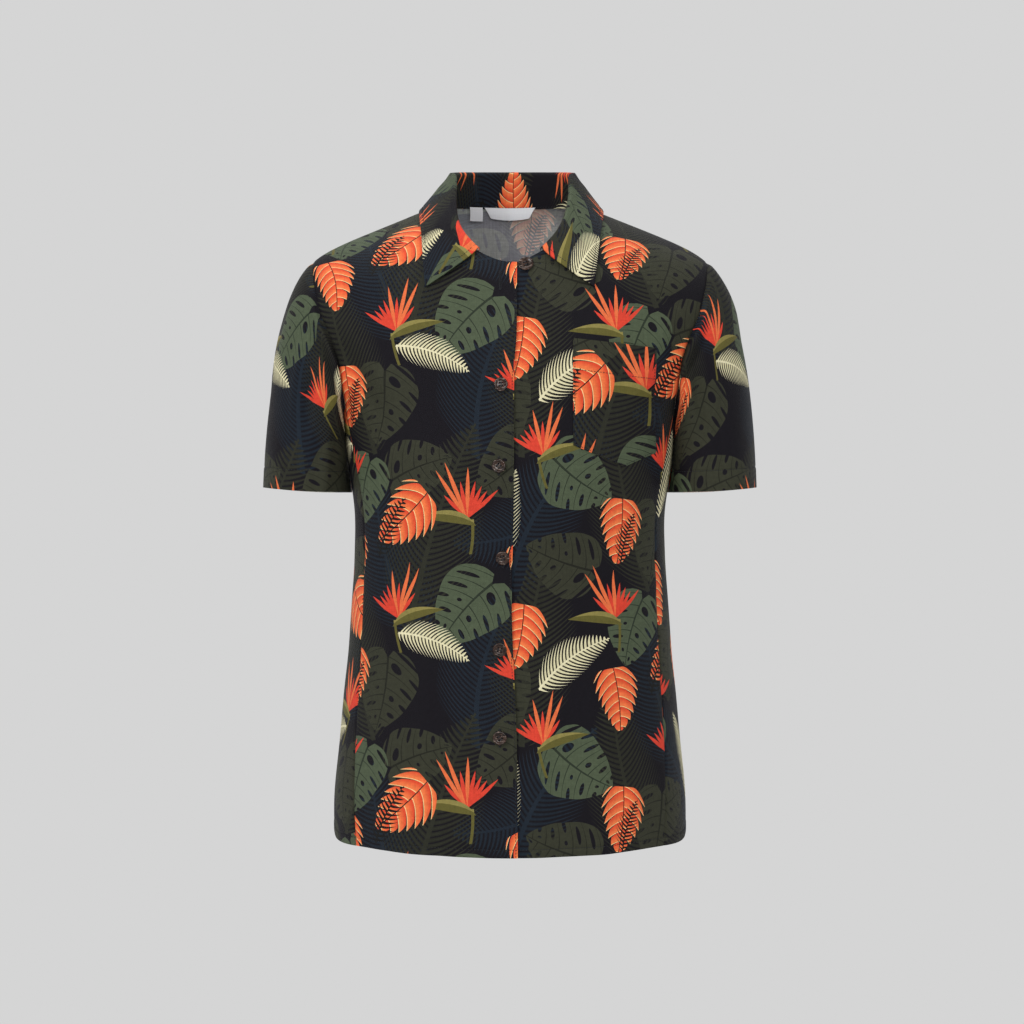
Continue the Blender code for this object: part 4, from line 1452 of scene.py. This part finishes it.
def pocket_lift(from_sides, from_top):
    """How far the pocket stands off its front: flat at its edges, and fuller towards its top."""
    full = smooth_step(from_sides, 0.0, POCKET_EDGE)
    full *= mix(1.0, POCKET_LOW_SHARE, smooth_step(from_top, 0.0, POCKET_MOUTH))
    dimple = STITCH_DIMPLE * bump(from_top - POCKET_HEM_DEPTH, DIMPLE_WIDTH)
    return LAYER_GAP + POCKET_STAND + POCKET_FULLNESS * full - dimple


def pocket_grid(shift):
    grid = []
    for row in range(POCKET_ROWS + 1):
        line = []
        for column in range(POCKET_COLUMNS + 1):
            share = column / POCKET_COLUMNS
            x = mix(POCKET.left_x, POCKET.right_x, share)
            top, low = mix(POCKET.left_top, POCKET.right_top, share), pocket_low(x)
            z = mix(low, top, row / POCKET_ROWS)
            lift = pocket_lift(min(x - POCKET.left_x, POCKET.right_x - x, z - low), top - z)
            point, normal = dressed_front(*place_at(front_point, x, z), 1, lift)
            line.append(Spot(point, normal, (x - POCKET.right_x + shift[0], z + shift[1])))
        grid.append(line)
    return grid


def label_piece(node, label, taper=0.0):
    """A blank woven label that hangs from the neck seam just inside the collar."""
    grid = []
    for row in range(LABEL_ROWS + 1):
        line = []
        up = row / LABEL_ROWS
        for column in range(LABEL_COLUMNS + 1):
            share = 0.5 + (column / LABEL_COLUMNS - 0.5) * (1.0 - taper * (1.0 - up))
            x = mix(label.left_x, label.right_x, share)
            seam = back_point(*place_at(back_point, x, back_neck_height(x)))
            inward = -from_neck_axis(seam)
            low = mix(label.middle_low, label.corner_low, (2.0 * share - 1.0) ** 2)
            z = mix(low, label.top, up)
            away = COLLAR_GAP + COLLAR_WALL + LAYER_GAP + LABEL_BOW * math.sin(math.pi * up)
            point = seam + inward * away
            line.append(Spot(Vector((point.x, point.y, z)), inward, (x, z)))
        grid.append(line)
    piece = cloth_piece(node + "_tape", [(grid, True)], TAPE)
    piece.data.materials.clear()
    piece.data.materials.append(material("label"))
    for face in piece.data.polygons:
        face.material_index = 0
    width, length = label.right_x - label.left_x, label.top - label.middle_low
    place_sheet(piece, node, "label", width, length, width * length * (1.0 - 0.5 * taper))


# ---------------------------------------------------------------- sewing
def spot_along(line, reached, distance):
    """The spot at a distance along a line of spots, and the line's direction there."""
    index, share = step_at(reached, distance)
    here, there = line[index], line[index + 1]
    spot = Spot(here.point.lerp(there.point, share), here.normal, None)
    return spot, (there.point - here.point).normalized()


def spot_lengths(line):
    return running_lengths([spot.point for spot in line])


def inset_line(lines, distance):
    """The spot on each line at a distance from its first point."""
    return [spot_along(line, spot_lengths(line), distance)[0] for line in lines]


def stitch_places(line):
    """Centre, direction and normal of each stitch along a line of spots."""
    reached = spot_lengths(line)
    places = []
    for number in range(int(reached[-1] / STITCH_PITCH)):
        spot, direction = spot_along(line, reached, (number + 0.5) * STITCH_PITCH)
        places.append((spot.point, direction, spot.normal))
    return places


def add_stitch(shape, centre, direction, normal, length=STITCH_LENGTH):
    """One stitch: a six-sided bar with pointed ends, half sunk in the cloth."""
    across = normal.cross(direction).normalized()
    centre = centre + normal * STITCH_RADIUS * 0.4
    rings = []
    for along, size in STITCH_RINGS:
        middle = centre + direction * along * length
        radius = STITCH_RADIUS * size
        ring = [middle + (across * cosine + normal * sine) * radius for cosine, sine in circle(6)]
        rings.append([shape.verts.new(point) for point in ring])
    join_rings(shape, rings)
    sink = normal * STITCH_RADIUS * 0.7
    for end, ring in ((-0.5, rings[0][::-1]), (0.5, rings[-1])):
        tip = shape.verts.new(centre + direction * end * length - sink)
        for step, vertex in enumerate(ring):
            shape.faces.new([ring[step - 1], vertex, tip])


def sewn_piece(name, shape):
    bmesh.ops.recalc_face_normals(shape, faces=shape.faces)
    piece = add_object(name, mesh_from(shape, name))
    piece.data.shade_smooth()
    piece.data.materials.append(material("thread"))
    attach(piece, "root")


def stitching(name, lines):
    shape = bmesh.new()
    for line in lines:
        for place in stitch_places(line):
            add_stitch(shape, *place)
    sewn_piece(name, shape)


def columns_of(grid):
    return [list(column) for column in zip(*grid)]


def backwards(lines):
    return [line[::-1] for line in lines]


def collar_stitches(grid):
    """Round the leaf's edge, down its two front ends, and along the neck seam."""
    leaf = inset_line(backwards(grid), COLLAR_STITCH)[COLLAR_TRIM:-COLLAR_TRIM]
    rows = columns_of(grid)[RISE_STEPS + ROLL_STEPS:-LEAF_TRIM]
    first = inset_line(rows, COLLAR_STITCH)
    last = inset_line(backwards(rows), COLLAR_STITCH)
    return [leaf, first, last, inset_line(grid, NECK_STITCH)]


def pocket_stitches(grid):
    """Round the sides and the point, and across below the pocket's top."""
    columns = columns_of(grid)
    low = inset_line(columns, POCKET_STITCH)[1:-1]
    left = inset_line(grid, POCKET_STITCH)[1:]
    right = inset_line(backwards(grid), POCKET_STITCH)[1:]
    hem = inset_line(backwards(columns), POCKET_HEM_DEPTH)[1:-1]
    return [low, left, right, hem]


def closure_stitches(grid):
    """Beside the edge of the right front, from the hem to the neck."""
    lines = [line for line, level in zip(grid, front_levels()) if level < FRONT_NECK_LEVEL]
    return [inset_line(lines, EDGE_STITCH)]


# ---------------------------------------------------------------- buttons and buttonholes
BUTTON_STEPS = 56
HOLE_RADIUS = 0.00085
HOLE_REACH = 0.00150  # from the button's centre, along both axes
BUTTON_PROFILE = (  # shares of the radius and of half the thickness
    (0.0, 0.55), (0.50, 0.55), (0.60, 0.62), (0.70, 0.86), (0.78, 0.98), (0.85, 1.0), (0.92, 0.94),
    (0.97, 0.76), (1.0, 0.45), (0.99, 0.05), (0.93, -0.40), (0.80, -0.78), (0.60, -1.0), (0.0, -1.0),
)
HOLES = [(x, y) for x in (-HOLE_REACH, HOLE_REACH) for y in (-HOLE_REACH, HOLE_REACH)]
PEG_LENGTH = 0.01
STRAND_RADIUS = 0.00021
STRAND_PITCH = 0.00036
STRAND_REACH = HOLE_REACH + 0.0001
STRAND_DIVE = 0.0016  # how far its ends go down into the holes
STRAND_STEPS = 8
SPINS = (24.0, 4.0, 52.0, 11.0, 78.0, 36.0)  # degrees that each button is turned by
BUTTONHOLE_HALF = 0.0088
BUTTONHOLE_PITCH = 0.0006
BUTTONHOLE_STITCH = 0.0013
BUTTONHOLE_OFFSET = 0.0008  # from the slit to the middle of a stitch
BAR_LENGTH = 0.0028
TOP_BUTTONHOLE = Button(-0.0092, -0.0800, 0.0066)


def turned_mesh(radius):
    """The button as a turned solid. Its face looks to +Z."""
    shape = bmesh.new()
    rings = []
    for reach, height in BUTTON_PROFILE[1:-1]:
        z = height * 0.5 * BUTTON_THICKNESS
        ring = [(reach * radius * x, reach * radius * y, z) for x, y in circle(BUTTON_STEPS)]
        rings.append([shape.verts.new(point) for point in ring])
    join_rings(shape, rings[::-1])
    shape.faces.new(rings[0])
    shape.faces.new(rings[-1][::-1])
    return mesh_from(shape, "button")


def hole_tool():
    """Four pegs to cut the sewing holes with."""
    shape = bmesh.new()
    size = {"segments": 18, "radius1": HOLE_RADIUS, "radius2": HOLE_RADIUS, "depth": PEG_LENGTH}
    for x, y in HOLES:
        bmesh.ops.create_cone(shape, cap_ends=True, matrix=Matrix.Translation((x, y, 0.0)), **size)
    return add_object("hole_tool", mesh_from(shape, "hole_tool"))


def add_strand(shape, points):
    """A round strand through points in an upright plane."""
    rings = []
    for before, point, after in zip([points[0], *points], points, [*points[1:], points[-1]]):
        along = (after - before).normalized()
        across = along.cross(UP).normalized()
        upward = across.cross(along)
        ring = [point + (across * x + upward * y) * STRAND_RADIUS for x, y in circle(8)]
        rings.append([shape.verts.new(place) for place in ring])
    join_rings(shape, rings)
    shape.faces.new(rings[0][::-1])
    shape.faces.new(rings[-1])


def button_threads():
    """Strands that cross from hole to hole, three on each side."""
    shape = bmesh.new()
    top = 0.5 * BUTTON_THICKNESS * BUTTON_PROFILE[0][1]
    for y in (-HOLE_REACH, HOLE_REACH):
        for offset in (-STRAND_PITCH, 0.0, STRAND_PITCH):
            points = []
            for step in range(STRAND_STEPS + 1):
                share = 2.0 * step / STRAND_STEPS - 1.0
                rise = 2.0 * STRAND_RADIUS - STRAND_DIVE * abs(share) ** 5
                points.append(Vector((share * STRAND_REACH, y + offset, top + rise)))
            add_strand(shape, points)
    return mesh_from(shape, "button_threads")


def button_piece(number, place, surface):
    node = f"button_{number}"
    button = add_object(node + "_horn", turned_mesh(place.radius))
    tool = hole_tool()
    cut = button.modifiers.new("holes", "BOOLEAN")
    cut.operation = "DIFFERENCE"
    cut.object = tool
    cut.solver = "EXACT"
    apply_modifiers(button)
    bpy.data.objects.remove(tool, do_unlink=True)
    button.data.materials.append(material("button"))
    threads = add_object(node + "_thread", button_threads())
    threads.data.materials.append(material("thread"))
    threads.data.shade_smooth()
    level, turn = place_at(front_point, place.x, place.height)
    normal = outward_normal(surface, level, turn)
    sideways = UP.cross(normal).normalized()
    pose = Matrix((sideways, normal.cross(sideways), normal)).transposed().to_4x4()
    pose.translation = surface(level, turn) + normal * (WALL + LAYER_GAP + 0.5 * BUTTON_THICKNESS)
    spin = Matrix.Rotation(math.radians(SPINS[number - 1]), 4, "Z")
    for piece in (button, threads):
        piece.data.transform(pose @ spin)
        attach(piece, "root")
    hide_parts(node)


def add_buttonhole(shape, place):
    """Two rows of close stitches beside an upright slit, with a bar at each end."""
    count = int(2.0 * BUTTONHOLE_HALF / BUTTONHOLE_PITCH)
    for step in range(count + 1):
        z = place.height - BUTTONHOLE_HALF + step * BUTTONHOLE_PITCH
        is_bar = step < 2 or step > count - 2
        length = BAR_LENGTH if is_bar else BUTTONHOLE_STITCH
        for offset in (0.0,) if is_bar else (-BUTTONHOLE_OFFSET, BUTTONHOLE_OFFSET):
            centre, normal = dressed_front(*place_at(front_point, -place.x - offset, z), -1)
            add_stitch(shape, centre, UP.cross(normal).normalized(), normal, length)


def buttons():
    button_piece(1, OPEN_BUTTON, tucked_front)
    for number, place in enumerate(FASTENED_BUTTONS, 2):
        button_piece(number, place, front_point)
    shape = bmesh.new()
    for place in (TOP_BUTTONHOLE, *FASTENED_BUTTONS):
        add_buttonhole(shape, place)
    sewn_piece("buttonholes", shape)


# ---------------------------------------------------------------- stage, light and camera
CAMERA_X = 0.002
CAMERA_HEIGHT = -0.300
CAMERA_DISTANCE = 3.2
METRES_PER_PIXEL = 0.00098
FRAME_PIXELS = 1024
LIGHTS = (  # name, place, size and power
    ("key", (-1.9, -2.2, 1.7), 1.2, 52.0),
    ("fill", (2.4, -2.2, 0.3), 2.0, 10.0),
    ("front", (0.2, -3.5, 0.15), 0.6, 22.0),
    ("top", (0.0, 0.6, 2.6), 2.4, 30.0),
)
FLOOR_RADIUS = 2.2
FLOOR_HEIGHT = -1.25


def add_camera():
    data = bpy.data.cameras.new("camera")
    half_view = 0.5 * FRAME_PIXELS * METRES_PER_PIXEL / CAMERA_DISTANCE
    data.lens = 0.5 * data.sensor_width / half_view
    camera = add_object("camera", data)
    camera.location = (CAMERA_X, -CAMERA_DISTANCE, CAMERA_HEIGHT)
    camera.rotation_euler = (math.radians(90.0), 0.0, 0.0)
    bpy.context.scene.camera = camera


def add_area_light(name, location, size, energy):
    data = bpy.data.lights.new(name, "AREA")
    data.size = size
    data.energy = energy
    light = add_object(name, data)
    light.location = location
    aim = Vector((0.0, 0.0, CAMERA_HEIGHT)) - Vector(location)
    light.rotation_euler = aim.to_track_quat("-Z", "Y").to_euler()


def add_light():
    world = bpy.data.worlds.new("studio")
    world.use_nodes = True
    background = world.node_tree.nodes["Background"]
    background.inputs["Color"].default_value = (0.665, 0.665, 0.665, 1.0)
    background.inputs["Strength"].default_value = 1.0
    bpy.context.scene.world = world
    for light in LIGHTS:
        add_area_light(*light)


def add_floor():
    shape = bmesh.new()
    bmesh.ops.create_circle(shape, cap_ends=True, segments=96, radius=FLOOR_RADIUS)
    floor = add_object("floor", mesh_from(shape, "floor"))
    floor.location = (0.0, 0.0, FLOOR_HEIGHT)
    floor.data.materials.append(material("floor"))


# ---------------------------------------------------------------- the whole
# The cut of what shows of each cloth piece: width, length and area.
CUTS = {
    "front_right": (0.21, 0.66, 0.1115),
    "front_left": (0.23, 0.66, 0.1213),
    "back": (0.56, 0.66, 0.317),
    "sleeve_right": (SLEEVE_GIRTH, 0.20, 0.0478),
    "sleeve_left": (SLEEVE_GIRTH, 0.20, 0.0478),
    "collar": (0.45, 0.09, 0.0366),
    "pocket": (0.080, 0.122, 0.0088),
}
# How far the print is moved across and up each of them.
SHIFTS = {
    "front_right": (0.300, 0.232),
    "front_left": (0.020, 0.090),
    "back": (0.110, 0.050),
    "sleeve_right": (0.190, 0.240),
    "sleeve_left": (0.285, 0.240),
    "collar": (0.130, 0.070),
    "pocket": (0.270, 0.110),
}


def dress_cloth(node, grids, thickness=CLOTH, even=True):
    piece = cloth_piece(node + "_cloth", grids, thickness, even)
    place_sheet(piece, node, "cloth", *CUTS[node])


def dress():
    right = front_grid(-1, SHIFTS["front_right"])
    left = front_grid(1, SHIFTS["front_left"])
    backs = [back_grid(side, SHIFTS["back"]) for side in (-1, 1)]
    sleeves = [sleeve_grid(-1, SHIFTS["sleeve_right"]), sleeve_grid(1, SHIFTS["sleeve_left"])]
    collar = collar_grid(SHIFTS["collar"])
    pocket = pocket_grid(SHIFTS["pocket"])
    dress_cloth("front_right", [(right, True)])
    dress_cloth("front_left", [(left, False)])
    dress_cloth("back", [(backs[0], True), (backs[1], False)])
    dress_cloth("sleeve_right", [(sleeves[0], True)])
    dress_cloth("sleeve_left", [(sleeves[1], False)])
    dress_cloth("collar", [(collar, False)], COLLAR_CLOTH, even=False)
    dress_cloth("pocket", [(pocket, False)])
    label_piece("neck_label", NECK_LABEL, NECK_LABEL_TAPER)
    label_piece("size_label", SIZE_LABEL)
    hems = [inset_line(columns_of(grid), HEM_DEPTH) for grid in (right, left, *backs)]
    cuffs = [inset_line(columns_of(grid), CUFF_HEM_DEPTH) for grid in sleeves]
    stitching("hem_stitches", hems + cuffs)
    stitching("closure_stitches", closure_stitches(right))
    stitching("collar_stitches", collar_stitches(collar))
    stitching("pocket_stitches", pocket_stitches(pocket))
    buttons()


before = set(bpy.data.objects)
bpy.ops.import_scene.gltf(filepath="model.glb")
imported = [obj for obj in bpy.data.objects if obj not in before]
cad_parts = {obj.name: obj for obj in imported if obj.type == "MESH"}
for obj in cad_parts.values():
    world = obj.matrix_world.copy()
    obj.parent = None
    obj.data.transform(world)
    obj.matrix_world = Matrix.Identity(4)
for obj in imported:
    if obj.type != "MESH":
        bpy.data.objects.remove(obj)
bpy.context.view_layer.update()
bpy.context.scene.view_settings.view_transform = "Standard"
add_camera()
add_light()
add_floor()
dress()
